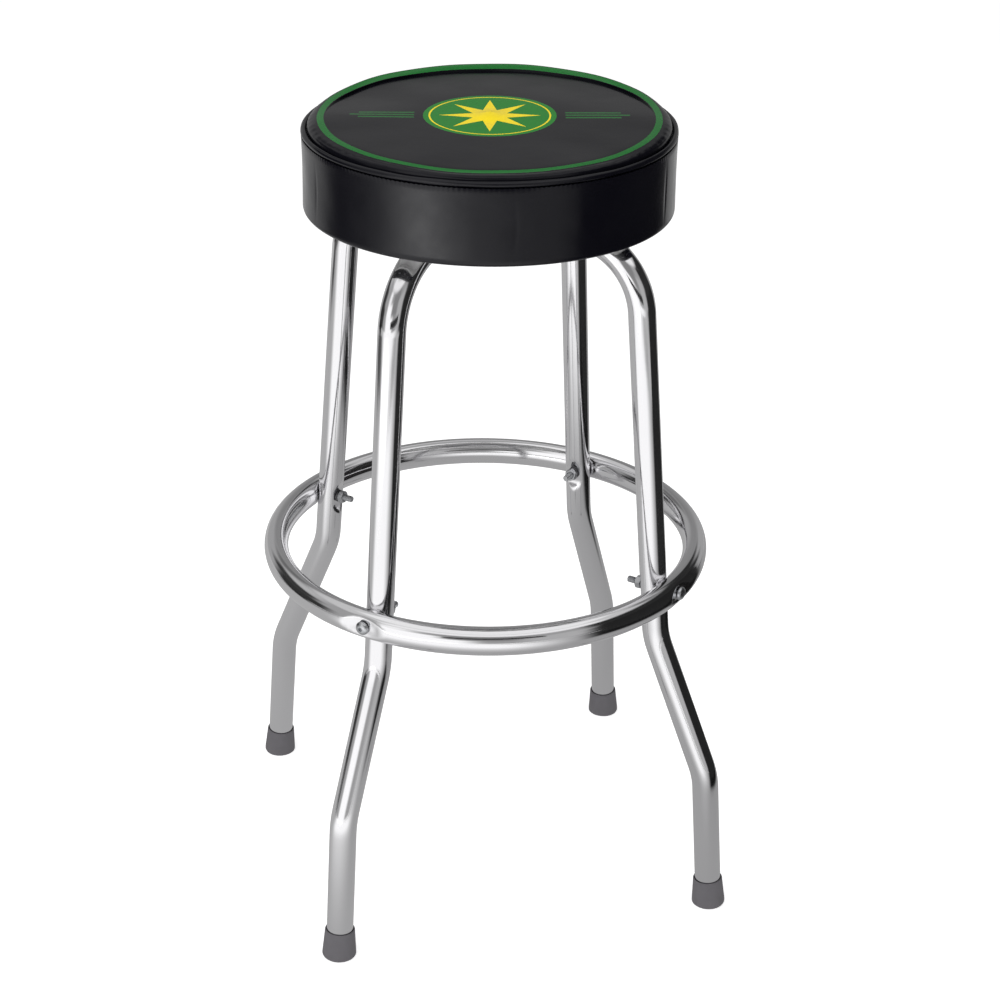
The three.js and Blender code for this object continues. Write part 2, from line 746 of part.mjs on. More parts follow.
addMesh(bearing, 'ball_cage', cageGeometry(), 'pressedSteel')
  .position.z = swivelBase + (swivelHeight - cageThickness) / 2;
ballPlaces().forEach(([x, y], k) => {
  const ball = new THREE.IcosahedronGeometry(ballDiameter / 2, 1);
  addMesh(bearing, `bearing_ball_${k + 1}`, ball, 'ballSteel')
    .position.set(x, y, swivelBase + swivelHeight / 2);
});

// The upper plate is the lower one upside down, turned so that its corners lie between the legs
const upperPlate = addMesh(seat, 'swivel_upper_plate',
  swivelPlateGeometry(screwHoleDiameter / 2), 'pressedSteel');
upperPlate.rotation.set(Math.PI, 0, quarterTurn / 2);
upperPlate.position.z = swivelBase + swivelHeight;
addMesh(seat, 'swivel_hub', hubGeometry(), 'zinc').position.z = swivelBase;
const screwSeat = swivelBase + swivelHeight - plateThickness - restGap;
for (const screw of screws) {
  const side = new THREE.Group();
  side.rotation.z = screw.turn;
  seat.add(side);
  const geometry = boltGeometry(
    screwDiameter / 2, screwLength, screwHeadDiameter, screwHeadHeight);
  const mesh = addMesh(side, `seat_screw_${screw.name}`, geometry, 'zinc');
  mesh.rotation.x = Math.PI;
  mesh.position.set(plateBoltReach, 0, screwSeat);
}
addMesh(seat, 'seat_board', boardGeometry(), 'plywood');
addMesh(seat, 'seat_rim', rimGeometry(), 'plywood');
addMesh(seat, 'seat_foam', foamGeometry(), 'foam');
addMesh(seat, 'seat_top_panel', topPanelGeometry(), 'vinyl');
addMesh(seat, 'seat_side_band', sideBandGeometry(), 'vinyl');
addMesh(seat, 'seat_welt', weltGeometry(), 'welt');

export default stool;
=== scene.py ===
import random
from math import atan2, cos, degrees, exp, hypot, pi, radians, sin, sqrt, tan
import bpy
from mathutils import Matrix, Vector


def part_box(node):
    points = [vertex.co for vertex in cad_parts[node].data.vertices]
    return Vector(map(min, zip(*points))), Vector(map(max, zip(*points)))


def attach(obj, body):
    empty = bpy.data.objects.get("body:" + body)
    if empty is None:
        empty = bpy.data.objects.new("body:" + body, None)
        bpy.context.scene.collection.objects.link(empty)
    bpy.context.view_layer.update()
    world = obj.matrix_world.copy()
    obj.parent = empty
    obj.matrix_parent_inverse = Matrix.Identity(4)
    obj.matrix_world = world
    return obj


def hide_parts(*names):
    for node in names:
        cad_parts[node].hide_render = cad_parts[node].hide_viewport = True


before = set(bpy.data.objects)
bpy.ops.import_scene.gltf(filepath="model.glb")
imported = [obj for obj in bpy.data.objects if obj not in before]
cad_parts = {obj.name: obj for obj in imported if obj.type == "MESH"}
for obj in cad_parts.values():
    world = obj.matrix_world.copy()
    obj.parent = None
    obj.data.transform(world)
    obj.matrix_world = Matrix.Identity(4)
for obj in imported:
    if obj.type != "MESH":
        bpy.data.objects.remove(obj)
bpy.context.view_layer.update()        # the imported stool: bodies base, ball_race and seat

from types import SimpleNamespace as Measures

import bmesh
import bpy
from mathutils import Matrix, Vector

print("frame loaded:", len(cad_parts), "nodes")

scene = bpy.context.scene
quarterTurn = pi / 2
legTurns = {"front_right": 0, "back_right": quarterTurn,
            "back_left": 2 * quarterTurn, "front_left": 3 * quarterTurn}
screwTurns = {"right": 0.5 * quarterTurn, "back": 1.5 * quarterTurn,
              "left": 2.5 * quarterTurn, "front": 3.5 * quarterTurn}


def aboutZ(turn):
    return Matrix.Rotation(turn, 4, "Z")


def angleOf(place):
    return atan2(place.y, place.x)


def outwardAt(angle):
    return Vector((cos(angle), sin(angle), 0))


# Camera: the photograph's viewpoint, found from the legs, the foot ring and the seat
viewpoint = Measures(
    azimuth=31.185,     # degrees from -Y towards +X
    distance=1.9074,    # from the stool's centre line
    height=1.3055,
    pitch=-26.015,
    yaw=0.411,
    roll=0.75,
    lens=78.267,
)


def towardsCamera(azimuth, distance, height):       # azimuth from the camera's side, to the right
    place = outwardAt(radians(viewpoint.azimuth + azimuth) - quarterTurn) * distance
    place.z = height
    return place


def turnPair(first, second, angle):     # turns two axes in their plane, in degrees
    c, s = cos(radians(angle)), sin(radians(angle))
    return first * c + second * s, second * c - first * s


def addCamera():
    turn = radians(viewpoint.azimuth)
    forward = outwardAt(turn + quarterTurn)
    right = outwardAt(turn)
    forward, right = turnPair(forward, right, viewpoint.yaw)
    forward, up = turnPair(forward, Vector((0, 0, 1)), viewpoint.pitch)
    right, up = turnPair(right, up, viewpoint.roll)
    place = towardsCamera(0, viewpoint.distance, viewpoint.height)
    bpy.ops.object.camera_add(location=place)
    camera = bpy.context.object
    axes = Matrix((right, up, -forward)).transposed().to_4x4()
    camera.matrix_world = Matrix.Translation(place) @ axes
    camera.data.lens = viewpoint.lens
    camera.data.sensor_width = 36
    camera.data.dof.use_dof = False
    camera.name = "photographView"
    scene.camera = camera


# Small tools for the modelling
def deselectEverything():
    if bpy.context.object and bpy.context.object.mode != "OBJECT":
        bpy.ops.object.mode_set(mode="OBJECT")
    bpy.ops.object.select_all(action="DESELECT")


def makeActive(piece):
    deselectEverything()
    piece.select_set(True)
    bpy.context.view_layer.objects.active = piece


def addPrimitive(operator, name, **settings):
    deselectEverything()
    operator(**settings)
    piece = bpy.context.object
    piece.name = name
    return piece


def discard(piece):
    bpy.data.objects.remove(piece, do_unlink=True)


def selectAll():
    bpy.ops.mesh.select_all(action="SELECT")


def openAll(piece):     # in edit mode, with everything selected
    makeActive(piece)
    bpy.ops.object.mode_set(mode="EDIT")
    bpy.ops.mesh.select_mode(type="VERT")
    selectAll()


def openFaces(piece, test):     # in edit mode, with the faces selected that pass the test
    makeActive(piece)
    bpy.ops.object.mode_set(mode="EDIT")
    bpy.ops.mesh.select_mode(type="FACE")
    bpy.ops.mesh.select_all(action="DESELECT")
    mesh = bmesh.from_edit_mesh(piece.data)
    for face in mesh.faces:
        if test(face):
            face.select_set(True)
    mesh.select_flush_mode()
    bmesh.update_edit_mesh(piece.data)


def closeEdit():
    bpy.ops.object.mode_set(mode="OBJECT")


def mergeAll(threshold):
    selectAll()
    bpy.ops.mesh.remove_doubles(threshold=threshold)


def tidySkin(piece, merge=1e-6):        # merges doubles and turns all faces outwards
    openAll(piece)
    mergeAll(merge)
    bpy.ops.mesh.normals_make_consistent(inside=False)
    closeEdit()


def applyTransform(piece):
    makeActive(piece)
    bpy.ops.object.transform_apply(location=True, rotation=True, scale=True)


def addModifier(piece, kind, **values):
    makeActive(piece)
    modifier = piece.modifiers.new(kind.title(), kind)
    for name, value in values.items():
        setattr(modifier, name, value)
    bpy.ops.object.modifier_apply(modifier=modifier.name)


def shadeSmooth(piece, angle=40):
    makeActive(piece)
    bpy.ops.object.shade_smooth_by_angle(angle=radians(angle))


def cutWith(piece, tool, operation="DIFFERENCE"):
    addModifier(piece, "BOOLEAN", operation=operation, object=tool, solver="EXACT")
    discard(tool)


def copyPiece(piece, name, turn=0, spin=0):     # turned about the centre line, spun about a ring bolt
    twin = piece.copy()
    twin.data = piece.data.copy()
    twin.name = name
    scene.collection.objects.link(twin)
    up = Matrix.Translation((0, 0, footRing.height))
    spun = up @ Matrix.Rotation(spin, 4, "X") @ up.inverted() if spin else Matrix()
    twin.data.transform(aboutZ(turn) @ spun)
    return twin


def extrude(step):
    bpy.ops.mesh.extrude_region_move(TRANSFORM_OT_translate={"value": step})


def spinAboutZ(steps, angle):
    bpy.ops.mesh.spin(steps=steps, angle=angle, center=(0, 0, 0), axis=(0, 0, 1))


def drawProfile(name, points):      # a line of edges through (radius, height) points
    piece = addPrimitive(bpy.ops.mesh.primitive_plane_add, name, size=0.001, location=(0, 0, 0))
    openAll(piece)
    bpy.ops.mesh.merge(type="CENTER")
    selectAll()
    bpy.ops.transform.translate(value=(points[0][0], 0, points[0][1]))
    for (r0, z0), (r1, z1) in zip(points, points[1:]):
        extrude((r1 - r0, 0, z1 - z0))
    return piece


def turnOnLathe(name, points, steps):
    piece = drawProfile(name, points)
    selectAll()
    spinAboutZ(steps, 2 * pi)
    closeEdit()
    tidySkin(piece)
    return piece


def placeAlong(piece, place, direction):        # for a piece that was made along +Z
    up = Vector((0, 0, 1)).rotation_difference(Vector(direction)).to_matrix().to_4x4()
    piece.data.transform(Matrix.Translation(place) @ up)


def easeBetween(value, start, end):     # 0 before the start, 1 after the end, soft in between
    share = min(1, max(0, (value - start) / (end - start)))
    return share * share * (3 - 2 * share)


def fade(distance, flatLength, fadeLength):     # 1 along the flat stretch, softly to 0 beyond
    return 1 - easeBetween(abs(distance) - flatLength / 2, 0, fadeLength)


def give(piece, body, finish, *nodes):      # nodes: the solids that it stands for
    material, slotName = finishes[finish]
    piece.data.materials.clear()
    piece.data.materials.append(material)
    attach(piece, body)
    if nodes:
        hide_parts(*nodes)


def spreadCopies(master, body, finish, stem, turns, spins=None):       # the master goes
    for spot, turn in turns.items():
        name = master.name + spot.title().replace("_", "")
        twin = copyPiece(master, name, turn, spins[spot] if spins else 0)
        give(twin, body, finish, stem + spot)
    discard(master)


# Materials: short names for what every finish is built from
def newMaterial(name):
    material = bpy.data.materials.new(name)
    material.use_nodes = True
    return material, material.node_tree


def addNode(tree, kind, inputs=None, **settings):
    node = tree.nodes.new("ShaderNode" + kind)
    for name, value in settings.items():
        setattr(node, name, value)
    for name, value in (inputs or {}).items():
        feed(tree, node.inputs[name], value)
    return node


def feed(tree, socket, value):      # a link from another node, or a plain number or colour
    if isinstance(value, bpy.types.NodeSocket):
        tree.links.new(value, socket)
    else:
        socket.default_value = value


def feedInTurn(tree, kind, *values, **settings):        # a node, fed in the order of its sockets
    node = addNode(tree, kind, **settings)
    for socket, value in zip(node.inputs, values):
        feed(tree, socket, value)
    return node.outputs[0]


def maths(tree, operation, *values):
    return feedInTurn(tree, "Math", *values, operation=operation)


def times(tree, first, *others):
    for other in others:
        first = maths(tree, "MULTIPLY", first, other)
    return first


def reachOf(tree, x, y):
    return maths(tree, "SQRT", maths(tree, "ADD", times(tree, x, x), times(tree, y, y)))


def between(tree, value, low, high):
    return times(tree, maths(tree, "GREATER_THAN", value, low),
                 maths(tree, "LESS_THAN", value, high))


def ramp(tree, value, start, end, low=0.0, high=1.0, kind="LINEAR"):
    return addNode(tree, "MapRange", {
        "Value": value, "From Min": start, "From Max": end, "To Min": low, "To Max": high,
    }, interpolation_type=kind).outputs[0]


def softStep(tree, value, start, end):
    return ramp(tree, value, start, end, kind="SMOOTHSTEP")


def objectPlace(tree, turn=0, scale=(1, 1, 1)):
    place = addNode(tree, "TexCoord").outputs["Object"]
    return addNode(tree, "Mapping", {
        "Vector": place, "Rotation": (0, 0, turn), "Scale": scale}).outputs[0]


def splitPlace(tree, facing=0):     # x, y and z, in a frame turned by that many degrees
    place = objectPlace(tree, -radians(facing))
    return addNode(tree, "SeparateXYZ", {"Vector": place}).outputs


def noise(tree, scale, detail=3.0, roughness=0.5, stretch=(1, 1, 1)):
    return addNode(tree, "TexNoise", {
        "Vector": objectPlace(tree, scale=stretch), "Scale": scale, "Detail": detail,
        "Roughness": roughness}).outputs["Fac"]


def mixColors(tree, share, first, second):
    node = addNode(tree, "Mix", data_type="RGBA")
    for socket, value in zip((node.inputs[0], node.inputs[6], node.inputs[7]),
                             (share, first, second)):
        feed(tree, socket, value)
    return node.outputs[2]


def bump(tree, height, strength, distance, under=None):
    node = addNode(tree, "Bump", {
        "Height": height, "Strength": strength, "Distance": distance})
    if under is not None:
        feed(tree, node.inputs["Normal"], under)
    return node.outputs[0]


def setShader(tree, **values):
    for name, value in values.items():
        feed(tree, tree.nodes["Principled BSDF"].inputs[name.replace("_", " ")], value)


def chromeMaterial():       # bright nickel-chrome plate with faint wipe marks
    material, tree = newMaterial("chromePlate")
    wipes = noise(tree, 60, 4, 0.6, (1, 1, 0.15))
    cloud = noise(tree, 9, 2)
    setShader(tree, Metallic=1.0,
              Base_Color=mixColors(tree, cloud, (0.79, 0.785, 0.80, 1), (0.85, 0.845, 0.86, 1)),
              Roughness=ramp(tree, wipes, 0.35, 0.75, 0.08, 0.13),
              Normal=bump(tree, noise(tree, 260, 2), 0.012, 0.0004))
    return material


def platedMaterial(name, tint, roughness):      # plating on small fasteners, slightly mottled
    material, tree = newMaterial(name)
    mottle = noise(tree, 420, 4, 0.6)
    dark = (0.72 * tint[0], 0.72 * tint[1], 0.72 * tint[2], 1)
    setShader(tree, Metallic=1.0, Base_Color=mixColors(tree, mottle, dark, tint),
              Roughness=ramp(tree, mottle, 0.3, 0.7, roughness - 0.07, roughness + 0.1),
              Normal=bump(tree, mottle, 0.06, 0.0003))
    return material


def pressedSteelMaterial():     # sheet steel with drawing lines and a trace of oil
    material, tree = newMaterial("pressedSteel")
    lines = noise(tree, 90, 5, 0.65, (1, 6, 1))
    stain = noise(tree, 30, 3, 0.55)
    setShader(tree, Metallic=1.0,
              Base_Color=mixColors(tree, stain, (0.30, 0.30, 0.31, 1), (0.45, 0.45, 0.46, 1)),
              Roughness=ramp(tree, lines, 0.3, 0.7, 0.32, 0.5),
              Normal=bump(tree, lines, 0.05, 0.0004))
    return material


def ballSteelMaterial():
    material, tree = newMaterial("ballSteel")
    film = noise(tree, 900, 2)
    setShader(tree, Metallic=1.0,
              Base_Color=mixColors(tree, film, (0.62, 0.62, 0.64, 1), (0.68, 0.68, 0.69, 1)),
              Roughness=ramp(tree, film, 0.3, 0.7, 0.04, 0.12))
    return material


def rubberMaterial():       # dull grey moulded rubber with dust in its fine grain
    material, tree = newMaterial("greyRubber")
    dust = noise(tree, 120, 4, 0.6)
    setShader(tree,
              Base_Color=mixColors(tree, dust, (0.096, 0.092, 0.100, 1), (0.132, 0.126, 0.137, 1)),
              Roughness=ramp(tree, dust, 0.3, 0.7, 0.62, 0.8),
              Normal=bump(tree, noise(tree, 1400, 3, 0.6), 0.25, 0.0002),
              Specular_IOR_Level=0.35)
    return material


sealedSide = (0.6966, 0.6970)       # heights at the board's underside, between paint and wood


def plywoodMaterial():      # birch ply with long soft grain, sealed grey underneath
    material, tree = newMaterial("plywood")
    grain = noise(tree, 14, 6, 0.62, (1, 9, 9))
    fleck = noise(tree, 160, 2, 0.5, (0.35, 5, 5))
    wood = mixColors(tree, grain, (0.42, 0.27, 0.13, 1), (0.66, 0.48, 0.27, 1))
    wood = mixColors(tree, ramp(tree, fleck, 0.62, 0.74, 0, 0.55), wood, (0.20, 0.11, 0.05, 1))
    height = splitPlace(tree)["Z"]
    paint = mixColors(tree, grain, (0.36, 0.36, 0.355, 1), (0.44, 0.44, 0.435, 1))
    setShader(tree, Roughness=ramp(tree, fleck, 0.3, 0.7, 0.60, 0.72),
              Base_Color=mixColors(tree, softStep(tree, height, *sealedSide), paint, wood),
              Normal=bump(tree, grain, 0.15, 0.0006))
    return material


# The seat's vinyl, with a printed ring and a made-up compass device
seatPrint = Measures(
    facing=31.2,            # degrees, the way the print faces
    ringOuter=0.1552,
    ringWidth=0.0062,
    ringShift=0.0007,       # the ring is printed a little off centre, narrower in front
    badgeRadius=0.060,
    badgeLine=0.0535,       # thin line inside the badge's edge
    badgeLineWidth=0.0016,
    starOuter=0.046,
    starInner=0.0165,
    bars=[(0.007, 0.118), (0.0, 0.126), (-0.007, 0.118)],   # height and length of each bar
    barWidth=0.0032,
    barStart=0.068,
)


def vinylMaterial(name, gloss, printed=False):      # gloss black vinyl with a fine pressed grain
    material, tree = newMaterial(name)
    grain = addNode(tree, "TexVoronoi", {
        "Vector": objectPlace(tree), "Scale": 1500.0}).outputs["Distance"]
    smear = noise(tree, 22, 4, 0.6)
    black = mixColors(tree, smear, (0.0024, 0.0023, 0.0042, 1), (0.0038, 0.0036, 0.0062, 1))
    slack = bump(tree, noise(tree, 16, 3), 0.14, 0.003)
    setShader(tree, Base_Color=printOn(tree, black) if printed else black,
              Roughness=ramp(tree, smear, 0.35, 0.7, 0.13, 0.22),
              Normal=bump(tree, grain, 0.07, 0.00012, slack),
              Specular_IOR_Level=gloss)
    return material


def printOn(tree, ground):      # the ring, the badge, its star and the bars over the vinyl's colour
    p = seatPrint
    x, y = splitPlace(tree, p.facing)[:2]
    reach = reachOf(tree, x, y)
    angle = maths(tree, "ARCTAN2", y, x)
    shift = times(tree, maths(tree, "SINE", angle), -p.ringShift)
    insideReach = maths(tree, "SUBTRACT", reach, shift)
    ring = times(tree, maths(tree, "LESS_THAN", reach, p.ringOuter), maths(
        tree, "GREATER_THAN", insideReach, p.ringOuter - p.ringWidth))
    badge = maths(tree, "LESS_THAN", reach, p.badgeRadius)
    line = between(tree, reach, p.badgeLine, p.badgeLine + p.badgeLineWidth)

    # eight points: the angle is folded into half a point, then tested against its edge
    point = 2 * pi / 8
    folded = maths(tree, "PINGPONG", angle, point / 2)
    a = p.starInner * sin(point / 2)
    b = p.starOuter - p.starInner * cos(point / 2)
    along = times(tree, reach, maths(tree, "COSINE", folded))
    aside = times(tree, reach, maths(tree, "SINE", folded))
    edge = maths(tree, "ADD", times(tree, along, a), times(tree, aside, b))
    star = maths(tree, "LESS_THAN", edge, a * p.starOuter)

    green = ring
    for height, length in p.bars:
        across = maths(tree, "LESS_THAN", maths(
            tree, "ABSOLUTE", maths(tree, "SUBTRACT", y, height)), p.barWidth / 2)
        span = between(tree, maths(tree, "ABSOLUTE", x), p.barStart, length)
        green = maths(tree, "MAXIMUM", green, times(tree, across, span))

    wear = noise(tree, 340, 3, 0.6)
    deepInk = mixColors(tree, wear, (0.006, 0.105, 0.016, 1), (0.010, 0.145, 0.024, 1))
    greenInk = mixColors(tree, wear, (0.005, 0.170, 0.010, 1), (0.009, 0.210, 0.016, 1))
    yellowInk = mixColors(tree, wear, (0.82, 0.62, 0.004, 1), (0.95, 0.75, 0.010, 1))
    inked = mixColors(tree, badge, mixColors(tree, green, ground, deepInk), greenInk)
    return mixColors(tree, maths(tree, "MAXIMUM", line, star), inked, yellowInk)


finishes = {        # the material and the slot that each goes by
    "chrome": (chromeMaterial(), "chrome_tube"),
    "zinc": (platedMaterial("zincPlate", (0.62, 0.63, 0.65, 1), 0.28), "zinc_fastener"),
    "spring": (platedMaterial("springSteel", (0.20, 0.20, 0.21, 1), 0.38), "dark_spring_steel"),
    "pressed": (pressedSteelMaterial(), "pressed_steel"),
    "ball": (ballSteelMaterial(), "ball_steel"),
    "rubber": (rubberMaterial(), "grey_rubber"),
    "plywood": (plywoodMaterial(), "plywood"),
    "printedVinyl": (vinylMaterial("printedVinyl", 0.24, printed=True), "black_vinyl"),
    "vinyl": (vinylMaterial("blackVinyl", 0.33), "black_vinyl"),
}
print("materials made:", len(finishes))


# Leg frames: one inverted U of chromed tube for each pair of legs
legTube = Measures(
    radius=0.0127,
    wall=0.0012,
    sides=48,
    corners=[(0.26280, 0.00478), (0.2513, 0.1434), (0.1907, 0.2810),
             (0.1560, 0.6650), (0.0, 0.6650)],      # reach and height of the centre line
    bendRadii=[0.075, 0.075, 0.068],
    bendStep=3,             # degrees
    step=0.010,             # between two rings of a straight stretch
    fineStep=0.0025,        # near a dent
    boltHeight=0.3332,
    recessDepth=0.0035,     # flat for the washer, on the inside of the leg
    recessLength=0.0140,
    recessFade=0.0120,
    crushLength=0.0398,     # where the two top runs cross
    crushFade=0.0160,
    crushDepth=0.01285,
    crushSpread=0.25,
)


def straightStretch(start, end, dents):     # in steps, finer near a dent
    direction = (end - start).normalized()
    length = (end - start).length
    gone = 0
    while gone < length - 1e-6:
        here = start + direction * gone
        near = any((here - place).length < reach for place, reach in dents)
        step = min(legTube.fineStep if near else legTube.step, length - gone)
        if length - gone - step < 0.001:
            step = length - gone
        extrude(direction * step)
        gone += step


def pressFlat(piece, middle, along, outward, depth, flatLength, fadeLength, spread=0):
    across = along.cross(outward)
    radius = legTube.radius
    for vertex in piece.data.vertices:
        offset = vertex.co - middle
        press = fade(offset.dot(along), flatLength, fadeLength)
        height = offset.dot(outward)
        if press == 0 or abs(height) > 2 * radius or abs(offset.dot(across)) > 2 * radius:
            continue
        over = height - (radius - depth * press)
        if over > 0:
            vertex.co -= outward * over * 0.97      # a trace of roundness stays
        vertex.co += across * offset.dot(across) * spread * press


def makeLegFrame(name, crushSide):
    tube = legTube
    corners = [Vector((x, 0, z)) for x, z in tube.corners]
    lean = (corners[3] - corners[2]).normalized()
    share = (tube.boltHeight - corners[2].z) / (corners[3].z - corners[2].z)
    boltPlace = corners[2].lerp(corners[3], share)
    middle = corners[4]
    dents = [(boltPlace, tube.recessLength / 2 + tube.recessFade + 0.01),
             (middle, tube.crushLength / 2 + tube.crushFade + 0.01)]

    first = (corners[1] - corners[0]).normalized()
    piece = addPrimitive(
        bpy.ops.mesh.primitive_circle_add, name, vertices=tube.sides, radius=tube.radius,
        fill_type="NOTHING", location=corners[0], rotation=(0, atan2(first.x, first.z), 0))
    applyTransform(piece)
    openAll(piece)
    start = corners[0]
    for i in range(1, len(corners)):
        into = (corners[i] - corners[i - 1]).normalized()
        if i == len(corners) - 1:
            straightStretch(start, corners[i], dents)
            break
        out = (corners[i + 1] - corners[i]).normalized()
        turn = into.angle(out)
        radius = tube.bendRadii[i - 1]
        tangent = radius * tan(turn / 2)
        bendStart = corners[i] - into * tangent
        straightStretch(start, bendStart, dents)
        axis = into.cross(out).normalized()
        centre = bendStart + axis.cross(into) * radius
        steps = max(4, round(degrees(turn) / tube.bendStep))
        bpy.ops.mesh.spin(steps=steps, angle=-turn, center=centre, axis=axis)
        start = corners[i] + out * tangent
    closeEdit()
    tidySkin(piece, 1e-5)

    outward = Vector((lean.z, 0, -lean.x))
    pressFlat(piece, boltPlace, lean, -outward, tube.recessDepth,
              tube.recessLength, tube.recessFade)
    pressFlat(piece, middle, Vector((1, 0, 0)), Vector((0, 0, crushSide)), tube.crushDepth,
              tube.crushLength, tube.crushFade, tube.crushSpread)
    addModifier(piece, "MIRROR", use_axis=(True, False, False), use_mirror_merge=True,
                merge_threshold=0.0002)
    tidySkin(piece, 1e-5)
    addModifier(piece, "SOLIDIFY", thickness=tube.wall, offset=-1)
    return piece


def addLegFrames():
    upper = makeLegFrame("legFrameUpper", -1)
    lower = makeLegFrame("legFrameLower", 1)
    lower.data.transform(aboutZ(quarterTurn))
    for piece, node in ((upper, "leg_frame_upper"), (lower, "leg_frame_lower")):
        shadeSmooth(piece, 50)
        give(piece, "base", "chrome", node)


# Foot ring: an oval tube, dented by the legs and round the bolt heads
footRing = Measures(
    radius=0.20504,
    height=0.3332,
    depth=0.0232,
    tall=0.0274,
    segments=400,
    sides=48,
    saddleClearance=0.0006,
    saddleRound=0.0022,       # how softly the saddle's edge rolls in
    dishDepth=0.0030,
    dishFlat=(0.0085, 0.0062),    # half length along the ring, half height
    dishReach=(0.0235, 0.0115),
)


def legReachAt(height):
    (x0, z0), (x1, z1) = legTube.corners[2:4]
    return x0 + (height - z0) * (x1 - x0) / (z1 - z0)


def smoothMax(a, b, width):     # the larger one, with a soft change between them
    share = max(width - abs(a - b), 0) / width
    return max(a, b) + share * share * width / 4


def dentRing(place):        # moves a point of the ring near a leg that stands on +X
    ring = footRing
    side = hypot(place.x, place.y) - ring.radius
    (x0, z0), (x1, z1) = legTube.corners[2:4]
    lean = cos(atan2(x0 - x1, z1 - z0))
    saddle = legTube.radius + ring.saddleClearance
    if side < 0 and abs(place.y) < 2.2 * saddle:
        if abs(place.y) < saddle:
            bulge = sqrt(saddle ** 2 - place.y ** 2) / lean
        else:
            bulge = -3 * (abs(place.y) - saddle)
        place.x = smoothMax(place.x, legReachAt(place.z) + bulge, ring.saddleRound)
    if side > 0:
        flatX, flatZ = ring.dishFlat
        reachX, reachZ = ring.dishReach
        z = place.z - ring.height
        away = hypot(place.y / reachX, z / reachZ)
        start = hypot(flatX / reachX, flatZ / reachZ) * 0.72
        place.x -= ring.dishDepth * (1 - easeBetween(away, start, 1))
    return place


def addFootRing():
    ring = footRing
    piece = addPrimitive(
        bpy.ops.mesh.primitive_torus_add, "footRing", major_radius=ring.radius,
        minor_radius=ring.depth / 2, major_segments=ring.segments,
        minor_segments=ring.sides, location=(0, 0, ring.height))
    applyTransform(piece)
    openAll(piece)
    bpy.ops.transform.resize(value=(1, 1, ring.tall / ring.depth),
                             center_override=(0, 0, ring.height))
    closeEdit()
    for vertex in piece.data.vertices:
        nearest = round(angleOf(vertex.co) / quarterTurn) * quarterTurn
        turn = Matrix.Rotation(nearest, 3, "Z")
        vertex.co = turn @ dentRing(turn.inverted() @ vertex.co)
    shadeSmooth(piece, 60)
    give(piece, "base", "chrome", "foot_ring")


# Bolts, nuts and washers
ringBolt = Measures(
    radius=0.003175, headRadius=0.0065, headHeight=0.0044, pitch=0.00127, thread=0.0006,
    threadLength=0.017, socket=0.0023, steps=40)
plateBolt = Measures(
    radius=0.003175, headRadius=0.00675, headHeight=0.0034, pitch=0.00127, thread=0.0006,
    threadLength=0.016, socket=0, steps=32)
hexNut = Measures(across=0.0111, height=0.0056, hole=0.0033, chamfer=0.0008)
lockWasher = Measures(outer=0.0061, inner=0.0034, thickness=0.0016, slit=0.0015)


def domedHead(radius, edge, top, fullness, steps):       # from the rim's height to the top's
    angles = [quarterTurn * k / steps for k in range(1, steps)]
    return [(radius * cos(a) ** fullness, edge + (top - edge) * sin(a))
            for a in angles] + [(0, top)]


def boltProfile(bolt, length):      # tail, threads, shank and domed head
    r, depth, pitch = bolt.radius, bolt.thread, bolt.pitch
    points = [(0, -length), (r - depth, -length)]
    z = -length + 0.0004
    while z < -length + bolt.threadLength:
        points += [(r - depth, z), (r, z + 0.42 * pitch), (r, z + 0.58 * pitch)]
        z += pitch
    head, tall = bolt.headRadius, bolt.headHeight
    points += [(r - depth, z), (r, z + depth), (r, 0),
               (head - 0.0003, 0), (head, 0.0004), (head, 0.22 * tall)]
    return points + domedHead(head, 0.22 * tall, tall, 0.8, 8)


def makeBolt(name, bolt, length):
    piece = turnOnLathe(name, boltProfile(bolt, length), bolt.steps)
    if bolt.socket:        # a hexagonal key hole in the head
        cutWith(piece, addPrimitive(
            bpy.ops.mesh.primitive_cylinder_add, "keyHole", vertices=6, radius=bolt.socket,
            depth=0.0048, location=(0, 0, bolt.headHeight)))
        tidySkin(piece)
    shadeSmooth(piece, 38)
    return piece


def makeNut(name):
    corner = hexNut.across / 2 / cos(pi / 6)
    c, h = hexNut.chamfer, hexNut.height
    piece = addPrimitive(
        bpy.ops.mesh.primitive_cylinder_add, name, vertices=6, radius=corner, depth=h,
        location=(0, 0, h / 2), rotation=(0, 0, pi / 6))
    applyTransform(piece)
    washerFace = hexNut.across / 2 - 0.0003
    rim = turnOnLathe("nutRim", [(0, -1e-5), (washerFace, -1e-5), (corner + 1e-4, c),
                                 (corner + 1e-4, h - c), (washerFace, h + 1e-5), (0, h + 1e-5)], 48)
    cutWith(piece, rim, "INTERSECT")
    hole = hexNut.hole
    bore = turnOnLathe("nutBore", [
        (0, -0.001), (hole + 0.0016, -0.001), (hole + 0.0006, 0), (hole, 0.0006), (hole, h - 0.0006),
        (hole + 0.0006, h), (hole + 0.0016, h + 0.001), (0, h + 0.001)], 32)
    cutWith(piece, bore)
    tidySkin(piece)
    shadeSmooth(piece, 25)
    return piece


